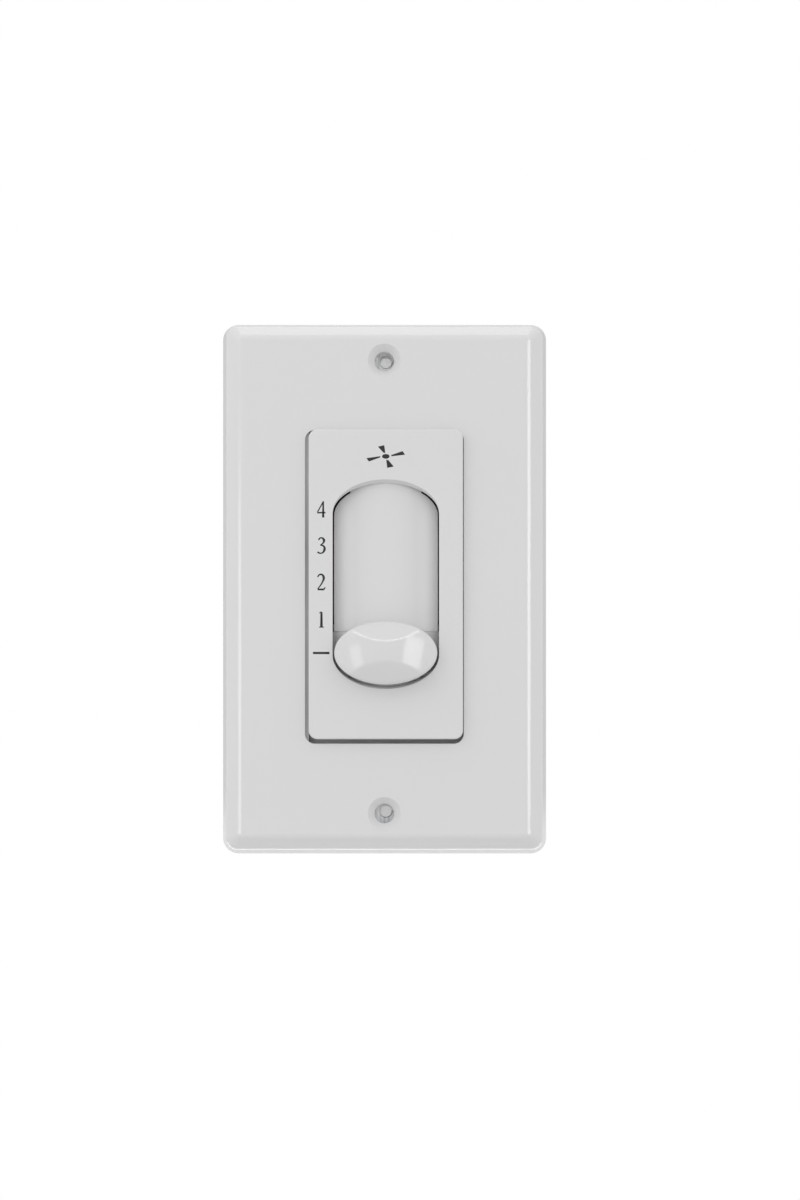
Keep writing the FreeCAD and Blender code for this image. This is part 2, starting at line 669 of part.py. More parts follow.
def slider_knob():
    """Knob, saddle and legs in one moulding. The knob is an ellipse cut by a barrel and by two facets."""
    body = new_body("slider_knob", z=S.knob_rest)
    leg_inner, leg_outer = S.leg_inner_x, S.leg_outer_x
    saddle_inner = S.crown_radius + S.saddle_gap
    saddle = sketch_on(body, "XY_Plane", "saddle_section")
    arch(saddle, saddle_inner, saddle_inner + S.saddle_wall, leg_outer)
    pad(body, "saddle", saddle, S.saddle_depth, Midplane=True)
    legs = sketch_on(body, "XY_Plane", "leg_section")
    centre = S.crown_radius - S.crown_height
    top = centre - chord_drop(saddle_inner, leg_outer) - S.saddle_wall / 2
    tip = S.leg_reach - S.barb * 2
    for side in (1, -1):
        inner, outer, hook = leg_inner * side, leg_outer * side, (leg_inner - S.barb) * side
        foot = [(outer, S.leg_reach), (inner, S.leg_reach), (hook, tip), (inner, tip)]
        outline(legs, [(inner, top), (outer, top)] + foot)
    pad(body, "legs", legs, S.leg_depth, Midplane=True)
    foot = chord_drop(saddle_inner, S.knob_width / 2) - centre
    plan = sketch_on(body, "XZ_Plane", "knob_outline", foot)
    oval = plan.addGeometry(Part.Ellipse(Vector(0, 0, 0), S.knob_width.value / 2, S.knob_depth.value / 2))
    plan.exposeInternalGeometry(oval)
    hold(plan, oval, 3, ZERO, ZERO)
    hold(plan, oval + 1, 1 if plan.Geometry[oval + 1].StartPoint.x > 0 else 2, S.knob_width / 2, ZERO)
    hold(plan, oval + 2, 1 if plan.Geometry[oval + 2].StartPoint.y > 0 else 2, None, S.knob_depth / 2)
    pad(body, "knob_blank", plan, S.knob_height + S.trim_spare - foot)
    under = sketch_on(body, "XY_Plane", "underside_section")
    low = centre - chord_drop(saddle_inner, leg_inner)
    base = [(-leg_inner, low), (leg_inner, Follows(low)), (leg_inner, ZERO), (-leg_inner, ZERO)]
    outline(under, base, {0: (ZERO, centre)})
    pocket(body, "underside", under, S.knob_depth, Midplane=True)
    barrel = sketch_on(body, "XY_Plane", "barrel_section")
    wide = S.knob_width / 2 + S.trim_spare
    middle = S.knob_barrel_radius - S.knob_height
    edge = middle - chord_drop(S.knob_barrel_radius, wide)
    sky = -(S.knob_height + S.trim_spare * 2)
    outline(barrel, [(-wide, edge), (wide, Follows(edge)), (wide, sky), (-wide, sky)], {0: (ZERO, middle)})
    pocket(body, "barrel_top", barrel, S.knob_depth * 2, Midplane=True)
    facets = sketch_on(body, "YZ_Plane", "facet_sections")
    run = S.knob_depth
    lip = -S.knob_height + run * S.facet_slope
    for side, start in ((1, S.ridge_above), (-1, S.ridge_below)):
        points = [(-S.knob_height, start * side), (lip, (start + run) * side), (sky, (start + run) * side)]
        outline(facets, points + [(sky, start * side)])
    cut = pocket(body, "facets", facets, S.knob_width * 2, Midplane=True)

    def rim(edge):
        box = edge.BoundBox
        return box.YMax < -S.insert_height.value and not runs_along(edge, Vector(0, 1, 0))

    dress(body, "Fillet", "soft_edges", cut, rim, Radius=S.knob_edge)
    return body


def mounting_strap():
    """Steel strap: a window, box-screw slots, drawn and tapped holes, and an earth tab bent back."""
    body = new_body("mounting_strap")
    plan = sketch_on(body, "XZ_Plane", "strap_outline")
    wide, ear = S.strap_width / 2, S.ear_width / 2
    shoulder, end = S.strap_body_length / 2, S.strap_length / 2
    neck = shoulder + (wide - ear) / 2
    points = [(wide, -shoulder), (wide, shoulder), (ear, neck), (ear, end), (-ear, end), (-ear, neck)]
    points += [(-wide, shoulder), (-wide, -shoulder), (-ear, -shoulder), (-ear, -end), (ear, -end), (ear, -neck)]
    outline(plan, points)
    blank = pad(body, "strap", plan, S.strap_wall)
    dress(body, "Fillet", "ear_corners", blank,
          lambda e: depth_edge(e) and near(abs(e.CenterOfMass.z), end.value), Radius=S.strap_corner)
    holes = sketch_on(body, "XZ_Plane", "window_outline")
    rounded_rectangle(holes, S.window_width, S.window_length, S.window_corner)
    pocket(body, "window", holes, S.strap_wall, Type="ThroughAll", Midplane=True)
    slots = sketch_on(body, "XZ_Plane", "box_screw_slots")
    for side in (1, -1):
        oblong(slots, S.box_slot_length, S.box_slot_width, S.box_screw_spacing * side / 2)
    pocket(body, "box_screws", slots, S.strap_wall, Type="ThroughAll", Midplane=True)
    collars = sketch_on(body, "XZ_Plane", "tapped_collars", -S.tapped_collar_reach)
    for side in (1, -1):
        circle(collars, S.tapped_collar, ZERO, S.plate_screw_spacing * side / 2)
    pad(body, "collars", collars, S.tapped_collar_reach)
    taps = sketch_on(body, "XZ_Plane", "tapped_holes")
    for side in (1, -1):
        circle(taps, S.tapped_hole, ZERO, S.plate_screw_spacing * side / 2)
    for x, z in corner_signs():
        circle(taps, S.screw_hole, S.post_x * x, S.post_z * z)
    pocket(body, "tapped", taps, S.strap_wall, Type="ThroughAll", Midplane=True)
    bend = sketch_on(body, "XY_Plane", "bend_section", -shoulder, shift_y=S.tab_bend)
    left, right = S.tab_centre_x - S.tab_width / 2, S.tab_centre_x + S.tab_width / 2
    rectangle(bend, left, right, -S.tab_bend - S.strap_wall, -S.tab_bend)
    turned = body.newObject("PartDesign::Revolution", "bend")
    turned.Profile = bend
    turned.ReferenceAxis = (bend, ["H_Axis"])
    turned.Angle = 90
    doc.recompute()
    flap = sketch_on(body, "XZ_Plane", "tab_section", -S.tab_bend)
    low = -shoulder - S.tab_bend
    rectangle(flap, left, right, low - S.strap_wall, low)
    pad(body, "tab", flap, S.tab_length, Reversed=True)
    screw = sketch_on(body, "XY_Plane", "ground_screw_hole", low)
    circle(screw, S.ground_screw + S.pilot_gap * 2, S.tab_centre_x, S.tab_bend + S.tab_length / 2)
    pocket(body, "ground_hole", screw, S.strap_wall * 2, Midplane=True)
    return body


def oblong(sketch, length, width, centre_y):
    """A slot with round ends, along X."""
    reach, radius = (length - width) / 2, width / 2
    points = [(-reach, centre_y - radius), (reach, centre_y - radius), (reach, Follows(centre_y + radius))]
    points += [(-reach, centre_y + radius)]
    points[0] = (-reach, Follows(centre_y - radius))
    outline(sketch, points, {1: (reach, centre_y), 3: (-reach, centre_y)})


def rear_housing():
    """Deep moulded cup with drafted walls, screw towers, ledges for the switch base and two lead holes."""
    body = new_body("rear_housing")
    mouth = sketch_on(body, "XZ_Plane", "mouth_outline")
    rounded_rectangle(mouth, S.housing_width, S.housing_length, S.housing_corner)
    floor = sketch_on(body, "XZ_Plane", "back_outline", -S.housing_depth)
    shrink = S.housing_back_taper * 2
    rounded_rectangle(floor, S.housing_width - shrink, S.housing_length - shrink, S.housing_corner)
    block = feature(body, "AdditiveLoft", "block", floor, Sections=[mouth], Ruled=True)
    dress(body, "Fillet", "back_edge", block, lambda e: at_height(e, -S.housing_depth),
          Radius=S.housing_back_edge)
    inside = sketch_on(body, "XZ_Plane", "cavity_outline")
    inner_width = S.housing_width - S.housing_wall * 2
    inner_length = S.housing_length - S.housing_wall * 2
    centred_rectangle(inside, inner_width, inner_length)
    pocket(body, "cavity", inside, S.housing_inside)
    towers = sketch_on(body, "XZ_Plane", "tower_outlines")
    for x, z in corner_signs():
        circle(towers, S.tower_diameter, S.post_x * x, S.post_z * z)
    pad(body, "towers", towers, S.housing_inside + S.housing_wall / 2, Reversed=True)
    ledges = sketch_on(body, "XZ_Plane", "ledge_outlines", -S.ledge_depth)
    inner, outer = inner_width / 2 - S.ledge_reach, (S.housing_width - S.housing_wall) / 2
    for left, right in ((inner, outer), (-outer, -inner)):
        for middle in (S.ledge_z, -S.ledge_z):
            rectangle(ledges, left, right, middle - S.ledge_width / 2, middle + S.ledge_width / 2)
    pad(body, "ledges", ledges, S.housing_inside + S.housing_wall / 2 - S.ledge_depth, Reversed=True)
    through = sketch_on(body, "XZ_Plane", "screw_holes")
    for x, z in corner_signs():
        circle(through, S.screw_hole, S.post_x * x, S.post_z * z)
    pocket(body, "screw_bores", through, S.tower_seat + S.trim_spare)
    heads = sketch_on(body, "XZ_Plane", "head_bores", -S.tower_seat)
    for x, z in corner_signs():
        circle(heads, S.screw_head_bore, S.post_x * x, S.post_z * z)
    pocket(body, "head_recesses", heads, S.housing_depth)
    leads = sketch_on(body, "XZ_Plane", "lead_holes", -S.housing_depth + S.housing_wall * 2)
    for x in (1, -1):
        circle(leads, S.lead_hole, S.lead_x * x, S.lead_z)
    pocket(body, "leads", leads, S.housing_wall * 3)
    return body


def insulator_sheet():
    """Thin sheet against the back of the strap, with the strap's window."""
    body = new_body("insulator_sheet")
    plan = sketch_on(body, "XZ_Plane", "sheet_outline", -S.sheet_wall)
    centred_rectangle(plan, S.sheet_width, S.base_length)
    gap = S.sheet_window_gap * 2
    rounded_rectangle(plan, S.window_width + gap, S.window_length + gap, S.window_corner)
    pad(body, "sheet", plan, S.sheet_wall)
    return body


def contact_stops():
    """The distance of each speed's contact from the middle of the travel."""
    return [S.step * (number - SPEEDS / 2) for number in range(1, SPEEDS + 1)]


def tail_centres():
    """Where the tails of the contacts pass through the base and the board."""
    middle = (S.contact_inner_x + S.contact_outer_x) / 2
    return [(middle, z) for z in contact_stops()] + [(S.rail_contact_x, -S.step * SPEEDS / 2)]


def square(sketch, side, x, z):
    """A small square about a point."""
    rectangle(sketch, x - side / 2, x + side / 2, z - side / 2, z + side / 2)


def switch_base():
    """Moulded tray: rails at both sides, a floor with the contacts' slots and the rack of the detent."""
    body = new_body("switch_base")
    front = S.sheet_wall
    tray = sketch_on(body, "XZ_Plane", "tray_outline", -S.ledge_depth)
    centred_rectangle(tray, S.rail_outer_x * 2, S.base_length)
    pad(body, "tray", tray, S.ledge_depth - front)
    bay = sketch_on(body, "XZ_Plane", "bay_outline", -front)
    centred_rectangle(bay, S.rail_inner_x * 2, S.base_length - S.base_end_wall * 2)
    pocket(body, "bay", bay, S.base_floor_depth - front)
    wings = sketch_on(body, "XZ_Plane", "wing_outlines", -S.ledge_depth)
    centred_rectangle(wings, S.base_width, S.ledge_z * 2 + S.ledge_width * 2)
    pad(body, "wings", wings, S.base_floor)
    rails = sketch_on(body, "XZ_Plane", "rail_outlines", -S.base_floor_depth)
    rail_top = S.carriage_back + S.runner_lift
    half_length = S.base_length / 2 - S.base_end_wall
    inner, outer = S.rail_inner_x - S.runner_width, S.rail_inner_x
    for left, right in ((inner, outer), (-outer, -inner)):
        rectangle(rails, left, right, -half_length, half_length)
    pad(body, "rails", rails, S.base_floor_depth - rail_top)
    tooth = sketch_on(body, "YZ_Plane", "tooth_section", S.detent_x - S.detent_width / 2)
    reach = (S.step - S.nose_width) / 2 - S.spring_wall
    for number in range(SPEEDS):
        middle = S.step * (number + 0.5 - SPEEDS / 2)
        points = [(S.base_floor_depth, middle - reach), (S.base_floor_depth - S.detent_rise, middle)]
        outline(tooth, points + [(S.base_floor_depth, middle + reach)])
    pad(body, "detent_rack", tooth, S.detent_width)
    posts = sketch_on(body, "XZ_Plane", "board_posts", -S.ledge_depth)
    for x, z in corner_signs():
        circle(posts, S.board_post, S.board_post_x * x, S.board_post_z * z)
    pad(body, "posts", posts, S.board_gap, Reversed=True)
    holes = sketch_on(body, "XZ_Plane", "tail_slots", -S.base_floor_depth)
    for x, z in tail_centres():
        square(holes, S.tail + S.tail_hole_gap * 2, x, z)
    pocket(body, "tail_holes", holes, S.base_floor * 2)
    return body


def contact_carriage():
    """Sliding block between the legs of the knob, with a runner on each side."""
    body = new_body("contact_carriage", z=S.knob_rest)
    half_block = S.leg_inner_x - S.carriage_leg_gap
    runner = S.rail_inner_x - S.runner_gap
    runner_top = S.carriage_back - S.runner_wall
    catch = S.leg_reach - S.barb * 2 - S.leg_end_gap
    section = sketch_on(body, "XY_Plane", "carriage_section")
    right = [(half_block, S.carriage_front), (half_block, catch), (half_block - S.barb, catch)]
    right += [(half_block - S.barb, runner_top), (runner, runner_top), (runner, S.carriage_back)]
    left = [(-x, y) for x, y in reversed(right)]
    outline(section, right + left)
    block = pad(body, "block", section, S.carriage_length, Midplane=True)
    dress(body, "Fillet", "block_corners", block,
          lambda e: runs_along(e, Vector(0, 0, 1)) and near(e.CenterOfMass.y, S.carriage_front.value),
          Radius=S.carriage_corner)
    return body


def wiper_contact():
    """Sheet-metal bridge under the carriage, with a dimple over the rail and one over the speed contacts."""
    body = new_body("wiper_contact", z=S.knob_rest)
    strip = sketch_on(body, "XZ_Plane", "strip_outline", -S.carriage_back - S.wiper_wall)
    left = S.rail_contact_x - S.rail_contact_width / 2
    rectangle(strip, left, S.contact_outer_x - S.wiper_inset, -S.wiper_depth / 2, S.wiper_depth / 2)
    pad(body, "strip", strip, S.wiper_wall)
    dimples = sketch_on(body, "XZ_Plane", "dimple_outlines", -S.carriage_back - S.wiper_wall)
    middle = (S.contact_inner_x + S.contact_outer_x) / 2
    for x in (S.rail_contact_x, middle):
        circle(dimples, S.dimple, x, ZERO)
    pad(body, "dimples", dimples, S.dimple_rise, Reversed=True)
    return body


def detent_spring():
    """Leaf under the carriage, bent to a nose that stands in a valley of the rack."""
    body = new_body("detent_spring", z=S.knob_rest)
    section = sketch_on(body, "YZ_Plane", "leaf_section", S.detent_x - S.detent_width / 2)
    back, wall = S.carriage_back, S.spring_wall
    nose = S.base_floor_depth - S.detent_gap
    half, tip = S.spring_length / 2, S.nose_width / 2
    shoulder = half - S.spring_end
    front = [(back, -half), (back, -shoulder), (nose - wall, -tip)]
    front += [(nose - wall, tip), (back, shoulder), (back, half)]
    rear = [(back + wall, half), (back + wall, shoulder + wall), (nose, tip + wall)]
    rear += [(nose, -tip - wall), (back + wall, -shoulder - wall), (back + wall, -half)]
    outline(section, front + rear)
    pad(body, "leaf", section, S.detent_width)
    return body


def contact(label, left, right, low, high, tail_x, tail_z):
    """Fixed contact: a flat head on the floor of the base, with a tail through to the board."""
    body = new_body(label)
    head = sketch_on(body, "XZ_Plane", "head_outline", -S.base_floor_depth)
    rectangle(head, left, right, low, high)
    flat = pad(body, "head", head, S.contact_wall)
    dress(body, "Fillet", "head_corners", flat, depth_edge, Radius=S.contact_wall / 2)
    tail = sketch_on(body, "XZ_Plane", "tail_outline", -S.base_floor_depth + S.contact_wall / 2)
    square(tail, S.tail, tail_x, tail_z)
    pad(body, "tail", tail, S.board_back - S.base_floor_depth + S.contact_wall / 2, Reversed=True)
    return body


def contacts():
    """The long rail of the supply and one contact for each speed."""
    made = []
    tails = tail_centres()
    half_rail = S.travel / 2 + S.wiper_depth
    rail_x, half_wide = S.rail_contact_x, S.rail_contact_width / 2
    x, z = tails[-1]
    made.append(contact("common_rail", rail_x - half_wide, rail_x + half_wide, -half_rail, half_rail, x, z))
    for number, (x, z) in enumerate(tails[:-1], start=1):
        low, high = z - S.contact_length / 2, z + S.contact_length / 2
        made.append(contact(f"speed_contact_{number}", S.contact_inner_x, S.contact_outer_x, low, high, x, z))
    return made


def circuit_board():
    """Board on the posts of the base, with slots for the tails."""
    body = new_body("circuit_board")
    plan = sketch_on(body, "XZ_Plane", "board_outline", -S.board_back)
    rounded_rectangle(plan, S.board_width, S.base_length, S.board_corner)
    pad(body, "board", plan, S.board_wall)
    holes = sketch_on(body, "XZ_Plane", "tail_slots", -S.board_depth)
    for x, z in tail_centres():
        square(holes, S.tail + S.tail_hole_gap * 2, x, z)
    pocket(body, "tail_holes", holes, S.board_wall)
    return body


def box_part(label, length_x, length_z, tall, x, z):
    """Film capacitor: a moulded box on the back of the board."""
    block = doc.addObject("Part::Box", label + "_block")
    back = S.board_back
    for key, size in (("Length", length_x), ("Width", tall), ("Height", length_z)):
        block.setExpression(key, size.text)
    for axis, size in (("x", x - length_x / 2), ("y", back), ("z", z - length_z / 2)):
        block.setExpression(f"Placement.Base.{axis}", size.text)
    doc.recompute()
    rounded = doc.addObject("Part::Fillet", label)
    rounded.Base = block
    far = (back + tall).value
    radius = S.capacitor_edge.value
    rounded.Edges = [(number, radius, radius) for number, edge in enumerate(block.Shape.Edges, start=1)
                     if near(edge.BoundBox.YMin, far) or depth_edge(edge)]
    doc.recompute()
    rounded.Label = label
    return rounded


def capacitors():
    """Three series capacitors down the board. The large one takes the length that the others leave."""
    made, high = [], S.base_length / 2 - S.capacitor_margin
    for size in ("large", "medium", "small"):
        sides = [f"{size}_capacitor_{side}" for side in ("width", "length", "height")]
        width, length, tall = (getattr(S, side) for side in sides)
        made.append(box_part(f"capacitor_{size}", width, length, tall, ZERO, high - length / 2))
        high = high - length - S.capacitor_margin
    return made


def bar(label, diameter, length, x, y, z, direction):
    """A plain round bar from a point, along +X or +Y."""
    made = doc.addObject("Part::Cylinder", label)
    made.setExpression("Radius", (diameter / 2).text)
    made.setExpression("Height", length.text)
    turns = {"x": (Vector(0, 1, 0), 90), "y": (Vector(1, 0, 0), -90)}
    place = Vector(x.value, y.value, z.value)
    made.Placement = FreeCAD.Placement(place, FreeCAD.Rotation(*turns[direction]))
    for axis, size in (("x", x), ("y", y), ("z", z)):
        made.setExpression(f"Placement.Base.{axis}", size.text)
    return made


def joined(label, kind, pieces):
    """Several primitives as one object."""
    made = doc.addObject(kind, label)
    if kind == "Part::Compound":
        made.Links = pieces
    else:
        made.Shapes = pieces
    made.Label = label
    doc.recompute()
    return made


def bleed_resistors():
    """Two small resistors across the board, each a body on its bent wire."""
    rows = []
    axis_y = S.board_back + S.resistor_diameter / 2
    half_wire = S.resistor_length / 2 + S.wire_reach
    foot_x, foot_height = half_wire - S.lead_wire / 2, (S.resistor_diameter + S.lead_wire) / 2
    for number, z in enumerate((S.upper_resistor_z, S.lower_resistor_z), start=1):
        name = f"resistor_{number}"
        start = -S.resistor_length / 2
        body = bar(name + "_body", S.resistor_diameter, S.resistor_length, start, axis_y, z, "x")
        wire = bar(name + "_wire", S.lead_wire, half_wire * 2, -half_wire, axis_y, z, "x")
        left = bar(name + "_left_foot", S.lead_wire, foot_height, -foot_x, S.board_back, z, "y")
        right = bar(name + "_right_foot", S.lead_wire, foot_height, foot_x, S.board_back, z, "y")
        rows.append(joined(name, "Part::MultiFuse", [body, wire, left, right]))
    return joined("bleed_resistors", "Part::Compound", rows)


def lead_terminals():
    """A crimp barrel on the board behind each lead hole."""
    barrels = []
    back, bottom = S.board_back, S.board_back + S.barrel_seat
    for number, side in enumerate((1, -1), start=1):
        name, x = f"barrel_{number}", S.lead_x * side
        outer = bar(name + "_outside", S.barrel_diameter, S.barrel_length, x, back, S.lead_z, "y")
        inner = bar(name + "_bore", S.barrel_bore, S.barrel_length, x, bottom, S.lead_z, "y")
        cut = doc.addObject("Part::Cut", name)
        cut.Base, cut.Tool = outer, inner
        barrels.append(cut)
    doc.recompute()
    return joined("lead_terminals", "Part::Compound", barrels)


def housing_screws():
    """Four long screws from the towers of the housing, through the strap, into the posts of the insert."""
    screws = []
    tip = -(S.strap_wall + S.screw_bite)
    reach = S.tower_seat - tip + S.screw_head_length / 2
    for number, (x_sign, z_sign) in enumerate(corner_signs(), start=1):
        name, x, z = f"screw_{number}", S.post_x * x_sign, S.post_z * z_sign
        shank = bar(name + "_shank", S.screw_diameter, reach, x, tip, z, "y")
        head = bar(name + "_head", S.screw_head, S.screw_head_length, x, S.tower_seat, z, "y")
        screws.append(joined(name, "Part::MultiFuse", [shank, head]))
    return joined("housing_screws", "Part::Compound", screws)


def ground_screw():
    """Hexagon-headed earth screw under the bent tab."""
    body = new_body("ground_screw", S.tab_centre_x, -(S.strap_body_length / 2 + S.tab_bend + S.strap_wall))
    y = S.tab_bend + S.tab_length / 2
    shank = sketch_on(body, "XY_Plane", "shank_outline")
    circle(shank, S.ground_screw, ZERO, y)
    pad(body, "shank", shank, S.strap_wall + S.ground_screw / 4)
    hexagon = sketch_on(body, "XY_Plane", "head_outline")
    reach = S.ground_head / 2
    points = []
    for corner in range(6):
        angle = math.radians(60 * corner)
        points.append((reach * math.cos(angle), y + reach * math.sin(angle)))
    outline(hexagon, points)
    pad(body, "head", hexagon, S.screw_head_length, Reversed=True)
    return body


def build():
    """Every sub-part of the control."""
    made = [wall_plate(), front_bezel(), track_plate(), slider_knob(), mounting_strap(), rear_housing()]
    made += [insulator_sheet(), switch_base(), contact_carriage(), wiper_contact(), detent_spring()]
    made += contacts() + [circuit_board()] + capacitors()
    return made + [bleed_resistors(), lead_terminals(), housing_screws(), ground_screw()]


def check(parts):
    """Stops if any object failed, or if a sub-part has no sound shape."""
    doc.recompute()
    failed = [item.Name for item in doc.Objects if "Invalid" in item.State or "Error" in item.State]
    if failed:
        raise RuntimeError(f"failed: {failed}")
    for part in parts:
        if part.Shape.isNull() or not part.Shape.isValid() or not part.Shape.Solids:
            raise RuntimeError(f"{part.Label} has no sound shape")


def export(parts):
    """One S.step file for each sub-part."""
    os.makedirs("parts", exist_ok=True)
    for part in parts:
        part.Shape.exportStep(f"parts/{part.Label}.step")
        box = part.Shape.BoundBox
        print(f"{part.Label}: {len(part.Shape.Solids)} solids, {part.Shape.Volume:.1f} mm3, "
              f"x {box.XMin:.2f} {box.XMax:.2f} y {box.YMin:.2f} {box.YMax:.2f} z {box.ZMin:.2f} {box.ZMax:.2f}")


pieces = build()
check(pieces)
export(pieces)
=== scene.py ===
# %% [markdown]
# # A slide-type fan speed control, dressed for its portrait
# The control is a white wall plate with a raised insert, a long slot and a glossy knob that slides over a crowned
# track. Its solids come packed, at their real size, and stay as they are. This lesson gives them their finishes, two
# of them with painted light and shade, adds the print on the insert, the threads and seals of the strap and a grey
# gasket as painted shade in the gap, and then lights and frames the whole.

import math

import bpy
from mathutils import Matrix, Vector


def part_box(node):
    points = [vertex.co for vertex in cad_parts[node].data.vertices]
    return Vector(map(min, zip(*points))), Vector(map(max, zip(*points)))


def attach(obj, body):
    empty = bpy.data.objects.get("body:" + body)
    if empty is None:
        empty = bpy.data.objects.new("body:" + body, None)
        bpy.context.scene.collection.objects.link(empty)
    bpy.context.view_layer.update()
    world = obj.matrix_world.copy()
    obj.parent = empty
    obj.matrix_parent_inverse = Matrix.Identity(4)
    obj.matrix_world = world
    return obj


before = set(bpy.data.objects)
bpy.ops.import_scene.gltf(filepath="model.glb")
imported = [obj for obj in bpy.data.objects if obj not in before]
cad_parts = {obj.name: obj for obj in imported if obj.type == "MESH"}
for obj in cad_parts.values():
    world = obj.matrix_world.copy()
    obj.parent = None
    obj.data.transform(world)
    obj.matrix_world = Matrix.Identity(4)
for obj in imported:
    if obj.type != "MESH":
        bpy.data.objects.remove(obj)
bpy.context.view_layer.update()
MM = 0.001
print("pieces in the frame:", len(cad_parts))

# %% [markdown]
# ## Where things are
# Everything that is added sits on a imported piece, so its place is read from the frame. The face of the insert is
# the front of its box, and the middle of the plate's box is where the opening for the insert has its middle.

# %% Landmarks of the control
INSERT_LOW, INSERT_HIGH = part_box("front_bezel")
PLATE_LOW, PLATE_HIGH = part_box("wall_plate")
KNOB_LOW, KNOB_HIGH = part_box("slider_knob")
INSERT_FACE = INSERT_LOW.y
PLATE_CENTRE = (PLATE_LOW + PLATE_HIGH) / 2
print("insert face at", round(INSERT_FACE / MM, 3), "mm")

# %% [markdown]
# ## A small workshop
# Operators act on whatever is selected, so each new piece starts with nothing selected. A finished piece has its
# place in its mesh and its object at the origin, and rides on a body of the control.

# %% Helpers for new pieces
MERGE_DISTANCE = 0.002 * MM


def clear_selection():
    """Leaves nothing selected."""
    bpy.ops.object.select_all(action="DESELECT")


def take(piece):
    """Makes a piece the only selected and active one."""
    clear_selection()
    piece.select_set(True)
    bpy.context.view_layer.objects.active = piece


def finish_piece(piece, name, body):
    """Puts a piece's place into its mesh, names it and fixes it to a body."""
    take(piece)
    bpy.ops.object.transform_apply(location=True, rotation=True, scale=True)
    piece.name = name
    piece.data.name = name
    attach(piece, body)


def as_mesh(piece):
    """Turns a curve into a mesh."""
    take(piece)
    bpy.ops.object.convert(target="MESH")
    return bpy.context.view_layer.objects.active


def join(pieces):
    """Several meshes as one."""
    clear_selection()
    for piece in pieces:
        piece.select_set(True)
    bpy.context.view_layer.objects.active = pieces[0]
    bpy.ops.object.join()
    return bpy.context.view_layer.objects.active


def outward(piece):
    """Merges doubled points and turns every face outward."""
    take(piece)
    bpy.ops.object.mode_set(mode="EDIT")
    bpy.ops.mesh.select_all(action="SELECT")
    bpy.ops.mesh.remove_doubles(threshold=MERGE_DISTANCE)
    bpy.ops.mesh.normals_make_consistent(inside=False)
    bpy.ops.object.mode_set(mode="OBJECT")


# %% [markdown]
# ## Small nodes for every finish
# Each finish below is built from the same few nodes. The noise reads Object coordinates, which are metres on these
# pieces, so a scale of 3000 is a grain of a third of a millimetre. A noise rarely leaves its middle range, so that
# range alone is stretched over a gloss or a tone.

# %% Helpers for materials
NOISE_DETAIL = 3.0
NOISE_LOW, NOISE_HIGH = 0.3, 0.7


def new_material(name):
    """A material with its nodes, its links and its shader."""
    material = bpy.data.materials.new(name)
    material.use_nodes = True
    nodes = material.node_tree.nodes
    return material, nodes, material.node_tree.links, nodes["Principled BSDF"]


def noise(nodes, links, scale):
    """A noise in the piece's own space."""
    place = nodes.new("ShaderNodeTexCoord")
    texture = nodes.new("ShaderNodeTexNoise")
    texture.inputs["Scale"].default_value = scale
    texture.inputs["Detail"].default_value = NOISE_DETAIL
    links.new(place.outputs["Object"], texture.inputs["Vector"])
    return texture.outputs["Fac"]


def uneven(nodes, links, source, middle, spread):
    """A value that the noise moves up and down by the spread."""
    mapped = nodes.new("ShaderNodeMapRange")
    mapped.inputs["From Min"].default_value = NOISE_LOW
    mapped.inputs["From Max"].default_value = NOISE_HIGH
    mapped.inputs["To Min"].default_value = middle - spread
    mapped.inputs["To Max"].default_value = middle + spread
    links.new(source, mapped.inputs["Value"])
    return mapped.outputs["Result"]


def tint(nodes, links, source, colour, drift):
    """A colour that the noise makes darker and lighter by the drift, a share of it."""
    ramp = nodes.new("ShaderNodeValToRGB")
    dark, light = ramp.color_ramp.elements
    dark.position, light.position = NOISE_LOW, NOISE_HIGH
    dark.color = (*(c * (1 - drift) for c in colour), 1)
    light.color = (*(min(1.0, c * (1 + drift)) for c in colour), 1)
    links.new(source, ramp.inputs["Fac"])
    return ramp.outputs["Color"]


def grain(nodes, links, shader, scale, depth):
    """A fine relief, its depth in metres."""
    bump = nodes.new("ShaderNodeBump")
    bump.inputs["Strength"].default_value = 1.0
    bump.inputs["Distance"].default_value = depth
    links.new(noise(nodes, links, scale), bump.inputs["Height"])
    links.new(bump.outputs["Normal"], shader.inputs["Normal"])


def maths(nodes, links, operation, first, second=None):
    """One step of arithmetic on sockets or plain numbers."""
    step = nodes.new("ShaderNodeMath")
    step.operation = operation
    for value, entry in zip((first, second), step.inputs):
        if isinstance(value, bpy.types.NodeSocket):
            links.new(value, entry)
        elif value is not None:
            entry.default_value = value
    return step.outputs[0]


def along(nodes, links, axis, space="Object"):
    """How far a point lies along one axis of its piece, or of another space."""
    place = nodes.new("ShaderNodeTexCoord")
    axes = nodes.new("ShaderNodeSeparateXYZ")
    links.new(place.outputs[space], axes.inputs["Vector"])
    return axes.outputs[axis]


# %% [markdown]
# ## Moulded plastic
# A moulded plastic is never one flat colour: its tone drifts a little, its gloss is uneven and its surface has a
# fine grain from the mould. One recipe with a few settings makes every plastic here.

# %% The recipe for moulded plastic
TONE_SCALE, GLOSS_SCALE = 55, 260
PLASTIC_INDEX = 1.5


def moulded_plastic(name, colour, drift, roughness, spread, grain_scale, grain_depth):
    """Moulded plastic: a tone that drifts, an uneven gloss and the grain of the mould."""
    material, nodes, links, shader = new_material(name)
    tone = tint(nodes, links, noise(nodes, links, TONE_SCALE), colour, drift)
    gloss = uneven(nodes, links, noise(nodes, links, GLOSS_SCALE), roughness, spread)
    links.new(tone, shader.inputs["Base Color"])
    links.new(gloss, shader.inputs["Roughness"])
    shader.inputs["IOR"].default_value = PLASTIC_INDEX
    grain(nodes, links, shader, grain_scale, grain_depth)
    return material


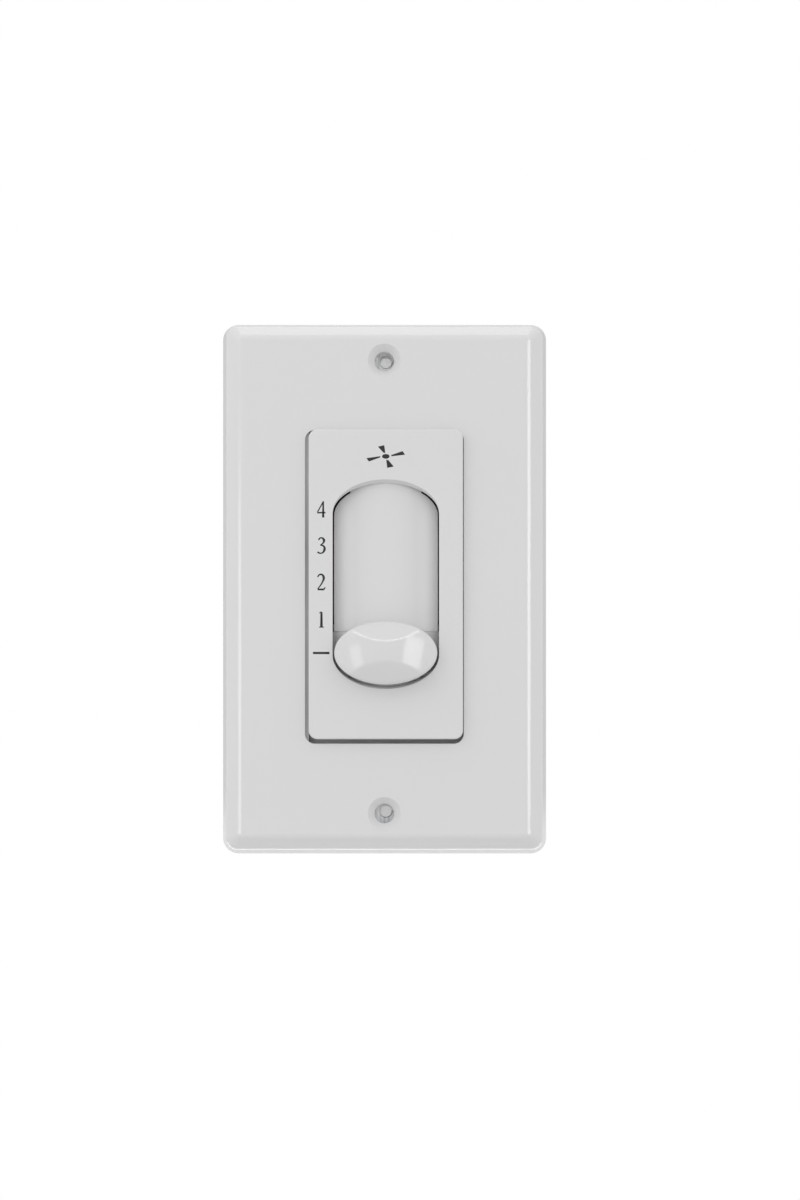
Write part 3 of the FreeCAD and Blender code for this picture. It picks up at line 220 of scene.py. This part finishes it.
# %% [markdown]
# ## Sheet metal
# The strap is plated steel with a brushed, slightly cloudy zinc, and the contacts are rolled brass. Their streaks
# are a noise that a Mapping node stretches along Z.

# %% The recipe for sheet metal
STREAK_SCALE = 1500
METAL_GRAIN_SCALE, METAL_GRAIN_DEPTH = 2400, 0.004 * MM


def sheet_metal(name, colour, drift, roughness, spread, streak):
    """Rolled or brushed metal: streaks along Z in both tone and gloss."""
    material, nodes, links, shader = new_material(name)
    place = nodes.new("ShaderNodeTexCoord")
    stretch = nodes.new("ShaderNodeMapping")
    stretch.inputs["Scale"].default_value = (1, 1, streak)
    texture = nodes.new("ShaderNodeTexNoise")
    texture.inputs["Scale"].default_value = STREAK_SCALE
    links.new(place.outputs["Object"], stretch.inputs["Vector"])
    links.new(stretch.outputs["Vector"], texture.inputs["Vector"])
    streaks = texture.outputs["Fac"]
    links.new(tint(nodes, links, streaks, colour, drift), shader.inputs["Base Color"])
    links.new(uneven(nodes, links, streaks, roughness, spread), shader.inputs["Roughness"])
    shader.inputs["Metallic"].default_value = 1.0
    grain(nodes, links, shader, METAL_GRAIN_SCALE, METAL_GRAIN_DEPTH)
    return material


# %% [markdown]
# ## Painted light and shade
# The track's colour is painted lighter along its two long edges, as painted light against the shade that the slot
# throws there. The saddle under the knob is the other way round: its colour is painted darker where it lies deep in
# the slot, as painted shade. A ramp over the distance from the middle, or over the depth, scales the colour, and the
# noise of the recipe still drifts over it.

# %% The recipe for painted light and shade
def painted_light_and_shade(material, axis, start, end, gain):
    """Paints light and shade into a material's colour along one axis: scales it by nothing at the start and by the
    gain at the end.
    """
    nodes, links = material.node_tree.nodes, material.node_tree.links
    colour = nodes["Principled BSDF"].inputs["Base Color"]
    painted_scale = nodes.new("ShaderNodeMapRange")
    painted_scale.interpolation_type = "SMOOTHSTEP"
    painted_scale.inputs["From Min"].default_value = start
    painted_scale.inputs["From Max"].default_value = end
    painted_scale.inputs["To Min"].default_value = 1.0
    painted_scale.inputs["To Max"].default_value = gain
    links.new(maths(nodes, links, "ABSOLUTE", along(nodes, links, axis)), painted_scale.inputs["Value"])
    scaled = nodes.new("ShaderNodeVectorMath")
    scaled.operation = "SCALE"
    links.new(colour.links[0].from_socket, scaled.inputs["Vector"])
    links.new(painted_scale.outputs["Result"], scaled.inputs["Scale"])
    links.new(scaled.outputs["Vector"], colour)
    return material


# %% [markdown]
# ## The knob's crown
# The knob's ridge and facets are also crowned a little from top to bottom, and their edges are softened. Both are
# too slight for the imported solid, so they are put into the shading: a relief whose height falls with the square of
# the distance from the knob's middle, over normals that a Bevel node rounds at the edges. The two are helpers of
# their own, because the crown takes over whatever normal the softened edges hand it.

# %% Soften the edges and crown the shading
BEVEL_SAMPLES = 8


def soft_edges(material, radius):
    """Rounds the shading normals within this distance of every edge."""
    nodes, links = material.node_tree.nodes, material.node_tree.links
    rounded = nodes.new("ShaderNodeBevel")
    rounded.samples = BEVEL_SAMPLES
    rounded.inputs["Radius"].default_value = radius
    mould_grain = nodes["Principled BSDF"].inputs["Normal"].links[0].from_node
    links.new(rounded.outputs["Normal"], mould_grain.inputs["Normal"])


def crown_shading(material, middle, radius):
    """Bends the shading normals as if the surface had this radius from top to bottom about its middle."""
    nodes, links = material.node_tree.nodes, material.node_tree.links
    above = maths(nodes, links, "SUBTRACT", along(nodes, links, "Z"), middle)
    square = maths(nodes, links, "MULTIPLY", above, above)
    crown = nodes.new("ShaderNodeBump")
    crown.inputs["Distance"].default_value = 1.0
    links.new(maths(nodes, links, "MULTIPLY", square, -0.5 / radius), crown.inputs["Height"])
    mould_grain = nodes["Principled BSDF"].inputs["Normal"].links[0].from_node
    links.new(mould_grain.inputs["Normal"].links[0].from_socket, crown.inputs["Normal"])
    links.new(crown.outputs["Normal"], mould_grain.inputs["Normal"])


# %% [markdown]
# ## Every piece gets its finish
# The plate, the insert and the knob are all nearly the same white, and their gloss tells them apart: the knob shines
# most, then the plate, and the insert is satin. The parts inside are dressed too, for views from behind and with the
# housing off.

# %% Mix the finishes
PLATE_WHITE = (0.70, 0.70, 0.70)
INSERT_WHITE = (0.70, 0.70, 0.70)
KNOB_WHITE = (0.69, 0.69, 0.69)
# Painted light: the track's colour is lifted towards its long edges, against the shade of the slot.
TRACK_FLAT, TRACK_EDGE, TRACK_PAINTED_LIGHT = 6 * MM, 11.3 * MM, 1.33
# Painted shade: the knob's colour is darkened deep in the slot, over its saddle.
KNOB_DEPTH, SADDLE_DEPTH, SADDLE_PAINTED_SHADE = 8 * MM, 6.6 * MM, 0.80
KNOB_EDGE_RADIUS = 0.8 * MM
KNOB_CROWN_RADIUS = 34 * MM

# A plastic lists colour, drift, roughness and its spread, grain scale and depth. A metal lists colour, drift,
# roughness and its spread, and how long its streaks are drawn: the smaller the number, the longer.
FINISHES = {
    "plate": moulded_plastic("white_plate", PLATE_WHITE, 0.003, 0.16, 0.02, 2600, 0.0005 * MM),
    "insert": moulded_plastic("white_insert", INSERT_WHITE, 0.004, 0.40, 0.04, 3200, 0.003 * MM),
    "track": moulded_plastic("white_track", INSERT_WHITE, 0.004, 0.40, 0.04, 3200, 0.003 * MM),
    "knob": moulded_plastic("glossy_knob", KNOB_WHITE, 0.003, 0.11, 0.02, 1500, 0.0005 * MM),
    "housing": moulded_plastic("dark_housing", (0.045, 0.046, 0.05), 0.25, 0.5, 0.08, 2200, 0.02 * MM),
    "paper": moulded_plastic("pressed_sheet", (0.20, 0.21, 0.19), 0.12, 0.7, 0.08, 4200, 0.02 * MM),
    "strap": sheet_metal("plated_steel", (0.58, 0.59, 0.60), 0.32, 0.42, 0.1, 0.08),
    "brass": sheet_metal("rolled_brass", (0.78, 0.57, 0.26), 0.1, 0.3, 0.07, 0.1),
    "spring": sheet_metal("spring_steel", (0.50, 0.50, 0.52), 0.06, 0.25, 0.05, 0.1),
    "board": moulded_plastic("circuit_board", (0.03, 0.16, 0.07), 0.15, 0.35, 0.08, 5000, 0.01 * MM),
    "capacitor": moulded_plastic("capacitor_case", (0.62, 0.42, 0.05), 0.08, 0.28, 0.05, 1800, 0.01 * MM),
    "resistor": moulded_plastic("resistor_body", (0.55, 0.44, 0.28), 0.08, 0.35, 0.05, 2600, 0.01 * MM),
    "earth": sheet_metal("green_screw", (0.10, 0.42, 0.18), 0.1, 0.34, 0.06, 0.3),
}
# Painted light along the track's long edges.
painted_light_and_shade(FINISHES["track"], "X", TRACK_FLAT, TRACK_EDGE, TRACK_PAINTED_LIGHT)
# Painted shade on the saddle, deep in the slot.
painted_light_and_shade(FINISHES["knob"], "Y", KNOB_DEPTH, SADDLE_DEPTH, SADDLE_PAINTED_SHADE)
soft_edges(FINISHES["knob"], KNOB_EDGE_RADIUS)
crown_shading(FINISHES["knob"], (KNOB_LOW.z + KNOB_HIGH.z) / 2, KNOB_CROWN_RADIUS)
print("finishes:", len(FINISHES))

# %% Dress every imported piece
DRESS = {
    "wall_plate": "plate", "front_bezel": "insert", "track_plate": "track", "slider_knob": "knob",
    "mounting_strap": "strap", "rear_housing": "housing", "insulator_sheet": "paper", "switch_base": "housing",
    "contact_carriage": "insert", "wiper_contact": "brass", "detent_spring": "spring", "common_rail": "brass",
    "circuit_board": "board", "bleed_resistors": "resistor", "lead_terminals": "brass",
    "housing_screws": "strap", "ground_screw": "earth",
}
for name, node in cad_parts.items():
    fallback = "brass" if name.startswith("speed_contact") else "capacitor"
    node.data.materials.clear()
    node.data.materials.append(FINISHES[DRESS.get(name, fallback)])
print("dressed pieces:", len(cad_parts))

# %% [markdown]
# ## The printed scale
# The insert carries 4, 3, 2, 1 and a dash in thin dark ink, in a face with thick stems and fine hairlines. Each
# figure is drawn as a pen would: a few strokes, each a curve whose points carry their own radius, so that a stroke
# can swell and thin. The round stroke is then pressed flat, to a film of ink a hundredth of a millimetre high.

# %% Ink strokes
INK_HEIGHT = 0.012 * MM
PRESSED_FROM = 0.1 * MM
INK = moulded_plastic("dark_ink", (0.012, 0.012, 0.013), 0.15, 0.5, 0.06, 4000, 0.001 * MM)


def stroke(points):
    """One pen stroke through (x, z, half width) points in millimetres, as a mesh."""
    clear_selection()
    bpy.ops.curve.primitive_bezier_curve_add()
    pen = bpy.context.active_object
    spline = pen.data.splines[0]
    spline.bezier_points.add(len(points) - len(spline.bezier_points))
    spline.resolution_u = 10
    for knot, (x, z, half_width) in zip(spline.bezier_points, points):
        knot.co = (x * MM, 0, z * MM)
        knot.handle_left_type = knot.handle_right_type = "AUTO" if len(points) > 2 else "VECTOR"
        knot.radius = half_width
    pen.data.bevel_depth = MM
    pen.data.bevel_resolution = 3
    pen.data.use_fill_caps = True
    return as_mesh(pen)


def ink_piece(strokes, name, x, z):
    """Strokes joined, pressed flat and laid on the face of the insert."""
    piece = join([stroke(points) for points in strokes])
    for vertex in piece.data.vertices:
        vertex.co.y = max(-1, min(1, vertex.co.y / PRESSED_FROM)) * INK_HEIGHT
    piece.location = (x * MM, INSERT_FACE, z * MM)
    outward(piece)
    piece.data.materials.append(INK)
    finish_piece(piece, name, "frame")


# %% [markdown]
# A figure is 3.5 mm tall and 2 mm wide. Its strokes are written about its own middle, and a hairline is 0.14 mm
# wide to each side while a stem is 0.28.

# %% Draw the figures and the dash
HAIR, STEM = 0.14, 0.28
FIGURES = {
    "4": [
        [(0.42, 1.62, HAIR), (-0.84, -0.62, 0.13)],
        [(-0.88, -0.74, 0.17), (0.88, -0.74, 0.17)],
        [(0.40, 1.70, 0.17), (0.38, -1.76, 0.25)],
    ],
    "3": [
        [(-0.62, 1.20, 0.15), (-0.15, 1.66, 0.15), (0.55, 1.18, STEM), (0.25, 0.42, 0.15), (-0.20, 0.12, HAIR)],
        [(-0.20, 0.12, 0.14), (0.50, -0.14, 0.20), (0.66, -0.85, STEM), (0.10, -1.58, 0.15), (-0.58, -1.52, 0.17),
         (-0.80, -1.34, 0.20)],
    ],
    "2": [
        [(-0.80, 1.02, 0.12), (-0.48, 1.50, 0.17), (0.10, 1.58, 0.20), (0.50, 0.95, STEM), (0.25, 0.05, 0.18),
         (-0.40, -1.00, 0.13), (-0.80, -1.52, 0.12)],
        [(-0.80, -1.58, 0.19), (0.55, -1.58, 0.21)],
        [(0.50, -1.55, 0.19), (0.86, -1.10, 0.08)],
    ],
    "1": [
        [(0.02, 1.55, 0.22), (0.02, -1.60, STEM)],
        [(-0.46, 1.30, 0.08), (0.02, 1.64, 0.13)],
        [(-0.48, -1.66, 0.11), (0.52, -1.66, 0.11)],
    ],
}
FIGURE_X = -13.72
FIGURE_Z = {"4": 15.95, "3": 8.2, "2": 0.45, "1": -7.5}
DASH = [[(-1.75, 0, 0.25), (1.75, 0, 0.25)]]
DASH_X, DASH_Z = -13.76, -14.66
for figure, strokes in FIGURES.items():
    ink_piece(strokes, f"printed_{figure}", FIGURE_X, FIGURE_Z[figure])
ink_piece(DASH, "printed_dash", DASH_X, DASH_Z)
print("figures:", len(FIGURES) + 1)

# %% [markdown]
# ## The fan pictogram
# Above the slot is the common sign for a fan: an oval hub with four blades that widen outward, drawn as if seen
# from below at a slant. A blade starts as a plane whose corners are put in place, its corners are bevelled round,
# and it is given the thickness of the ink.

# %% Hub and blades
PICTOGRAM_Z = 27.2
HUB_HALF_WIDTH, HUB_HALF_HEIGHT = 0.80, 0.50
BLADE_ROUNDING = 0.10 * MM
BLADES = {
    "left": [(-1.16, 0.04), (-1.16, -0.20), (-3.62, -1.10), (-4.12, -0.38)],
    "right": [(1.14, 0.02), (1.14, 0.28), (3.56, 1.12), (4.12, 0.36)],
    "top": [(-0.10, 0.68), (-0.54, 0.82), (-1.68, 2.08), (-0.34, 2.38)],
    "bottom": [(0.08, -0.70), (0.56, -0.82), (1.68, -2.16), (0.30, -2.46)],
}


def plane_through(corners):
    """A plane with its four corners moved to these (x, z) places."""
    clear_selection()
    bpy.ops.mesh.primitive_plane_add(size=MM)
    piece = bpy.context.active_object
    loop = [piece.data.vertices[i] for i in piece.data.polygons[0].vertices]
    for vertex, (x, z) in zip(loop, corners):
        vertex.co = (x, 0, z)
    return piece


def blade(corners):
    """One blade between four corners, in millimetres about the hub."""
    piece = plane_through([(x * MM, z * MM) for x, z in corners])
    bpy.ops.object.mode_set(mode="EDIT")
    bpy.ops.mesh.select_all(action="SELECT")
    bpy.ops.mesh.bevel(offset=BLADE_ROUNDING, segments=3, affect="VERTICES")
    bpy.ops.object.mode_set(mode="OBJECT")
    return piece


def hub():
    """The oval hub."""
    clear_selection()
    bpy.ops.mesh.primitive_circle_add(vertices=32, radius=MM, fill_type="NGON", rotation=(math.pi / 2, 0, 0))
    piece = bpy.context.active_object
    piece.scale = (HUB_HALF_WIDTH, HUB_HALF_HEIGHT, 1)
    bpy.ops.object.transform_apply(rotation=True, scale=True)
    return piece


sign = join([hub()] + [blade(corners) for corners in BLADES.values()])
film = sign.modifiers.new("ink film", "SOLIDIFY")
film.thickness = INK_HEIGHT * 2
film.offset = 0
take(sign)
bpy.ops.object.modifier_apply(modifier=film.name)
sign.location = (0.0, INSERT_FACE, PICTOGRAM_Z * MM)
outward(sign)
sign.data.materials.append(INK)
finish_piece(sign, "printed_fan", "frame")
print("pictogram faces:", len(sign.data.polygons))

# %% [markdown]
# ## Threads in the strap
# Through the two empty holes of the plate one sees the tapped holes of the strap. A thread is a small ridge swept
# along a helix, which is what the Screw modifier does. The ridge starts as a plane whose four corners are moved to
# its section: a broad foot in the wall of the hole and a narrow crest that stands out from it.

# %% Wind the threads
TAPPED_SPACING = 96.84 * MM
HOLE_RADIUS = 1.4 * MM
THREAD_TURNS = 3
THREAD_PITCH = 0.79 * MM
THREAD_BACK = 1.2 * MM
RIDGE_ROOT, RIDGE_HEIGHT = 0.02 * MM, 0.16 * MM
HALF_FOOT = THREAD_PITCH * 0.42
HALF_CREST = HALF_FOOT * 0.2
STEPS_PER_TURN = 32


def thread(name, z):
    """A helical ridge on the wall of a tapped hole."""
    foot, crest = HOLE_RADIUS + RIDGE_ROOT, HOLE_RADIUS - RIDGE_HEIGHT
    ridge = plane_through([(foot, -HALF_FOOT), (crest, -HALF_CREST), (crest, HALF_CREST), (foot, HALF_FOOT)])
    wind = ridge.modifiers.new("wind", "SCREW")
    wind.axis = "Z"
    wind.angle = 2 * math.pi * THREAD_TURNS
    wind.screw_offset = THREAD_PITCH * THREAD_TURNS
    wind.steps = wind.render_steps = STEPS_PER_TURN * THREAD_TURNS
    take(ridge)
    bpy.ops.object.modifier_apply(modifier=wind.name)
    ridge.rotation_euler = (math.pi / 2, 0, 0)
    ridge.location = (0, THREAD_BACK, z)
    outward(ridge)
    ridge.data.materials.append(FINISHES["strap"])
    finish_piece(ridge, name, "frame")


thread("strap_thread_top", TAPPED_SPACING / 2)
thread("strap_thread_bottom", -TAPPED_SPACING / 2)
print("turns of each thread:", THREAD_TURNS)

# %% [markdown]
# A pale disc closes each tapped hole just inside its mouth: a thin milky seal that a screw pushes through. Half of
# what one sees of it is the light behind it, so its shader mixes a clear part into the plain one.

# %% Seal the tapped holes
SEAL_THICKNESS = 0.3 * MM
SEAL_BACK = -0.8 * MM
SEAL_PLAY = 0.01 * MM
CLEAR_SHARE = 0.5
pale_seal = moulded_plastic("pale_seal", (0.92, 0.92, 0.92), 0.05, 0.5, 0.05, 3000, 0.004 * MM)
nodes, links = pale_seal.node_tree.nodes, pale_seal.node_tree.links
clear = nodes.new("ShaderNodeBsdfTransparent")
milky = nodes.new("ShaderNodeMixShader")
milky.inputs["Fac"].default_value = CLEAR_SHARE
links.new(nodes["Principled BSDF"].outputs[0], milky.inputs[1])
links.new(clear.outputs[0], milky.inputs[2])
links.new(milky.outputs[0], nodes["Material Output"].inputs["Surface"])


def seal(name, z):
    """A thin disc just inside the mouth of a tapped hole."""
    clear_selection()
    bpy.ops.mesh.primitive_cylinder_add(vertices=48, radius=HOLE_RADIUS - SEAL_PLAY, depth=SEAL_THICKNESS)
    disc = bpy.context.active_object
    disc.rotation_euler = (math.pi / 2, 0, 0)
    disc.location = (0, SEAL_BACK - SEAL_THICKNESS / 2, z)
    disc.data.materials.append(pale_seal)
    finish_piece(disc, name, "frame")


seal("hole_seal_top", TAPPED_SPACING / 2)
seal("hole_seal_bottom", -TAPPED_SPACING / 2)
print("seals are", round(SEAL_THICKNESS / MM, 2), "mm thick")

# %% [markdown]
# ## A grey gasket that paints the gap's shade
# Round the insert, a grey gasket on the strap closes the bottom of the gap to the plate, as painted shade: its grey
# gives the gap its dark line. It is three bars, because at the top the insert all but closes the gap by itself. The
# left bar stands higher, where the gap looks shallow and lighter, and the other two stay deep in the dark.

# %% Lay the gasket of painted shade
STRAP_FACE = -1.2 * MM
LEFT_HEIGHT, LOW_HEIGHT = 4.3 * MM, 2.3 * MM
OPENING_MARGIN = 0.5 * MM
half_opening = (INSERT_HIGH - INSERT_LOW) / 2 + Vector((OPENING_MARGIN, 0, OPENING_MARGIN))
opening_low, opening_high = PLATE_CENTRE - half_opening, PLATE_CENTRE + half_opening


def bar(left, right, low, high, height):
    """One bar of the gasket of painted shade, on the strap's face."""
    clear_selection()
    bpy.ops.mesh.primitive_cube_add(size=1)
    piece = bpy.context.active_object
    piece.scale = (right - left, height, high - low)
    piece.location = ((left + right) / 2, STRAP_FACE - height / 2, (low + high) / 2)
    bpy.ops.object.transform_apply(location=True, scale=True)
    return piece


# The gasket's grey stands in for the shade deep in the gap: painted shade.
shade_gasket = join([
    bar(opening_low.x, INSERT_LOW.x, opening_low.z, opening_high.z, LEFT_HEIGHT),
    bar(INSERT_HIGH.x, opening_high.x, opening_low.z, opening_high.z, LOW_HEIGHT),
    bar(INSERT_LOW.x, INSERT_HIGH.x, opening_low.z, INSERT_LOW.z, LOW_HEIGHT),
])
shade_gasket.data.materials.append(moulded_plastic("painted_gap_shade", (0.42, 0.42, 0.42), 0.15, 0.8, 0.05, 5000, 0.01 * MM))
finish_piece(shade_gasket, "gap_shade_gasket", "frame")
print("gasket faces:", len(shade_gasket.data.polygons))

# %% [markdown]
# ## The floor
# The portrait has a pure white ground and no visible shadow. The floor is white to the camera and in reflections,
# through Light Path, and lights nothing by that. To all other rays it is a pale sheet that takes the control's
# shadow and throws a little light back up.

# %% Lay the floor
FLOOR_Z = -0.11
FLOOR_SIZE = 6
FLOOR_TONE, FLOOR_ROUGHNESS = 0.82, 0.8
WHITE = 1.0


def white_to_camera(nodes, links, plain, white, output):
    """Shows white to the camera and in reflections, and the plain shader to every other ray."""
    path = nodes.new("ShaderNodeLightPath")
    seen = path.outputs["Is Camera Ray"]
    for kind in ("Is Glossy Ray", "Is Transmission Ray"):
        seen = maths(nodes, links, "MAXIMUM", seen, path.outputs[kind])
    mix = nodes.new("ShaderNodeMixShader")
    links.new(seen, mix.inputs["Fac"])
    links.new(plain, mix.inputs[1])
    links.new(white, mix.inputs[2])
    links.new(mix.outputs[0], output)


clear_selection()
bpy.ops.mesh.primitive_plane_add(size=FLOOR_SIZE, location=(0, 0, FLOOR_Z))
floor = bpy.context.active_object
floor.name = "floor"
bpy.ops.object.transform_apply(location=True)
pale_floor, nodes, links, shader = new_material("pale_floor")
shader.inputs["Base Color"].default_value = (FLOOR_TONE, FLOOR_TONE, FLOOR_TONE, 1)
shader.inputs["Roughness"].default_value = FLOOR_ROUGHNESS
glow = nodes.new("ShaderNodeEmission")
glow.inputs["Strength"].default_value = WHITE
white_to_camera(nodes, links, shader.outputs[0], glow.outputs[0], nodes["Material Output"].inputs["Surface"])
floor.data.materials.append(pale_floor)
print("floor at", FLOOR_Z, "m")

# %% [markdown]
# ## The room and its grey cards
# The world is white to the camera, and a plain, even room to diffuse rays, where it does most of the lighting. White
# plastic on white paper loses its edge, so a ring of grey cards stands behind the control, out of the picture. It is
# a ramp over the direction's Y, which is 0 in the plane of the plate and 1 straight behind it: the room dims from
# just behind that plane to the edge of the backdrop, and the rim of the plate shows it as a darker line. Diffuse and
# glossy rays meet the cards, each kind at its own tone.

# %% Build the room
AMBIENT = 1.04
DIFFUSE_CARD, GLOSSY_CARD = 0.75, 0.55
CARDS_START, CARDS_END = 0.12, 0.92
BACKDROP_EDGE = 0.97

world = bpy.data.worlds.new("white_room")
bpy.context.scene.world = world
world.use_nodes = True
nodes, links = world.node_tree.nodes, world.node_tree.links
rays = nodes.new("ShaderNodeLightPath")
behind = along(nodes, links, "Y", space="Generated")


def with_cards(background, plain, card, kind):
    """Gives a background its plain strength, and the cards' strength where this kind of ray meets them."""
    background.inputs["Color"].default_value = (1, 1, 1, 1)
    ring = nodes.new("ShaderNodeValToRGB")
    steps = ring.color_ramp.elements
    steps[0].position, steps[0].color = 0.0, (plain, plain, plain, 1)
    steps[1].position, steps[1].color = BACKDROP_EDGE, (plain, plain, plain, 1)
    for position in (CARDS_START, CARDS_END):
        steps.new(position).color = (card, card, card, 1)
    links.new(behind, ring.inputs["Fac"])
    cards = nodes.new("ShaderNodeMix")
    cards.data_type = "FLOAT"
    cards.inputs["A"].default_value = plain
    links.new(rays.outputs[kind], cards.inputs["Factor"])
    links.new(ring.outputs["Color"], cards.inputs["B"])
    links.new(cards.outputs["Result"], background.inputs["Strength"])
    return background.outputs[0]


room_light = with_cards(nodes["Background"], AMBIENT, DIFFUSE_CARD, "Is Diffuse Ray")
room_seen = with_cards(nodes.new("ShaderNodeBackground"), WHITE, GLOSSY_CARD, "Is Glossy Ray")
white_to_camera(nodes, links, room_light, room_seen, nodes["World Output"].inputs["Surface"])
print("room light:", AMBIENT)

# %% [markdown]
# ## The lamps
# The lamps only draw highlights, so they stay hidden from the camera and from diffuse light. A narrow box at each
# side, rolled a little, gives the two leaning patches on the knob, and a strip above it the bright line along the
# knob's upper edge. Wider banks give the lines down the creases of the plate, and four long boxes just behind its
# plane the thin lines along its rim. Light linking keeps the two sets apart. The window box alone shades, softly,
# from the upper left.

# %% Lamps
def softbox(name, azimuth, elevation, distance, width, height, radiance, roll=0.0, shading=False):
    """A rectangular lamp that faces the control: two angles in degrees, three lengths in metres, its brightness."""
    across, up = math.radians(azimuth), math.radians(elevation)
    place = Vector((math.sin(across) * math.cos(up), -math.cos(across) * math.cos(up), math.sin(up))) * distance
    lamp = bpy.data.lights.new(name, "AREA")
    lamp.shape = "RECTANGLE"
    lamp.size, lamp.size_y = width, height
    lamp.energy = radiance * math.pi * width * height
    stand = bpy.data.objects.new(name, lamp)
    bpy.context.collection.objects.link(stand)
    stand.visible_camera = False
    stand.visible_diffuse = shading
    turned = (-place).to_track_quat("-Z", "Y").to_matrix() @ Matrix.Rotation(math.radians(roll), 3, "Z")
    stand.location = place
    stand.rotation_euler = turned.to_euler()
    return stand


def lit_by(lamps, name, piece):
    """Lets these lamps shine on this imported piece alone."""
    lit = bpy.data.collections.new(name)
    lit.objects.link(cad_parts[piece])
    for lamp in lamps:
        lamp.light_linking.receiver_collection = lit


knob_lamps = [
    softbox("left_box", -31, -2.7, 0.60, 0.11, 0.20, 2.0, roll=14),
    softbox("right_box", 28, 0.5, 0.60, 0.19, 0.26, 3.3, roll=-14),
    softbox("upper_strip", 0, 28, 0.60, 0.90, 0.16, 5.0),
]
plate_lamps = [
    softbox("left_bank", -32, -0.2, 0.60, 0.34, 0.20, 3.0),
    softbox("right_bank", 32, 4.6, 0.60, 0.34, 0.27, 4.5),
    softbox("left_edge", -100, 0, 0.60, 0.16, 0.60, 2.0),
    softbox("right_edge", 100, 0, 0.60, 0.16, 0.60, 2.0),
    softbox("overhead_box", 0, 98, 0.50, 0.90, 0.12, 2.3),
    softbox("table_box", 0, -102, 0.10, 0.30, 0.05, 3.0),
]
lit_by(knob_lamps, "lit_for_the_knob", "slider_knob")
lit_by(plate_lamps, "lit_for_the_plate", "wall_plate")
softbox("window_box", -50, 35, 0.50, 0.30, 0.30, 0.6, shading=True)
print("lamps:", len(knob_lamps) + len(plate_lamps) + 1)

# %% [markdown]
# ## The camera
# The photograph looks straight along +Y, from about half a metre and from a little below, so that the raised insert
# seems to stand higher in its opening than it does. The lens is shifted to keep the plate in its place, 11.5 pixels
# above and 15.5 left of the middle of 800 by 1200.

# %% Place the camera
PIXELS_TALL = 1200
PIXELS_PER_MM = 4.64
SENSOR_HEIGHT = 36
RIM_Y = -1.8 * MM
CAMERA_DISTANCE = 0.478
CAMERA_BELOW = 0.040
PLATE_UP, PLATE_LEFT = 11.5, 15.5

camera = bpy.data.cameras.new("portrait")
camera.sensor_fit = "VERTICAL"
camera.sensor_height = SENSOR_HEIGHT
camera.lens = SENSOR_HEIGHT * CAMERA_DISTANCE * PIXELS_PER_MM / (PIXELS_TALL * MM)
camera.shift_y = ((PLATE_CENTRE.z + CAMERA_BELOW) / MM * PIXELS_PER_MM - PLATE_UP) / PIXELS_TALL
tripod = bpy.data.objects.new("portrait", camera)
bpy.context.collection.objects.link(tripod)
sideways = PLATE_CENTRE.x + PLATE_LEFT / PIXELS_PER_MM * MM
tripod.location = (sideways, RIM_Y - CAMERA_DISTANCE, -CAMERA_BELOW)
tripod.rotation_euler = (math.pi / 2, 0, 0)
bpy.context.scene.camera = tripod
bpy.context.scene.view_settings.view_transform = "Standard"
print("lens:", round(camera.lens, 1), "mm")
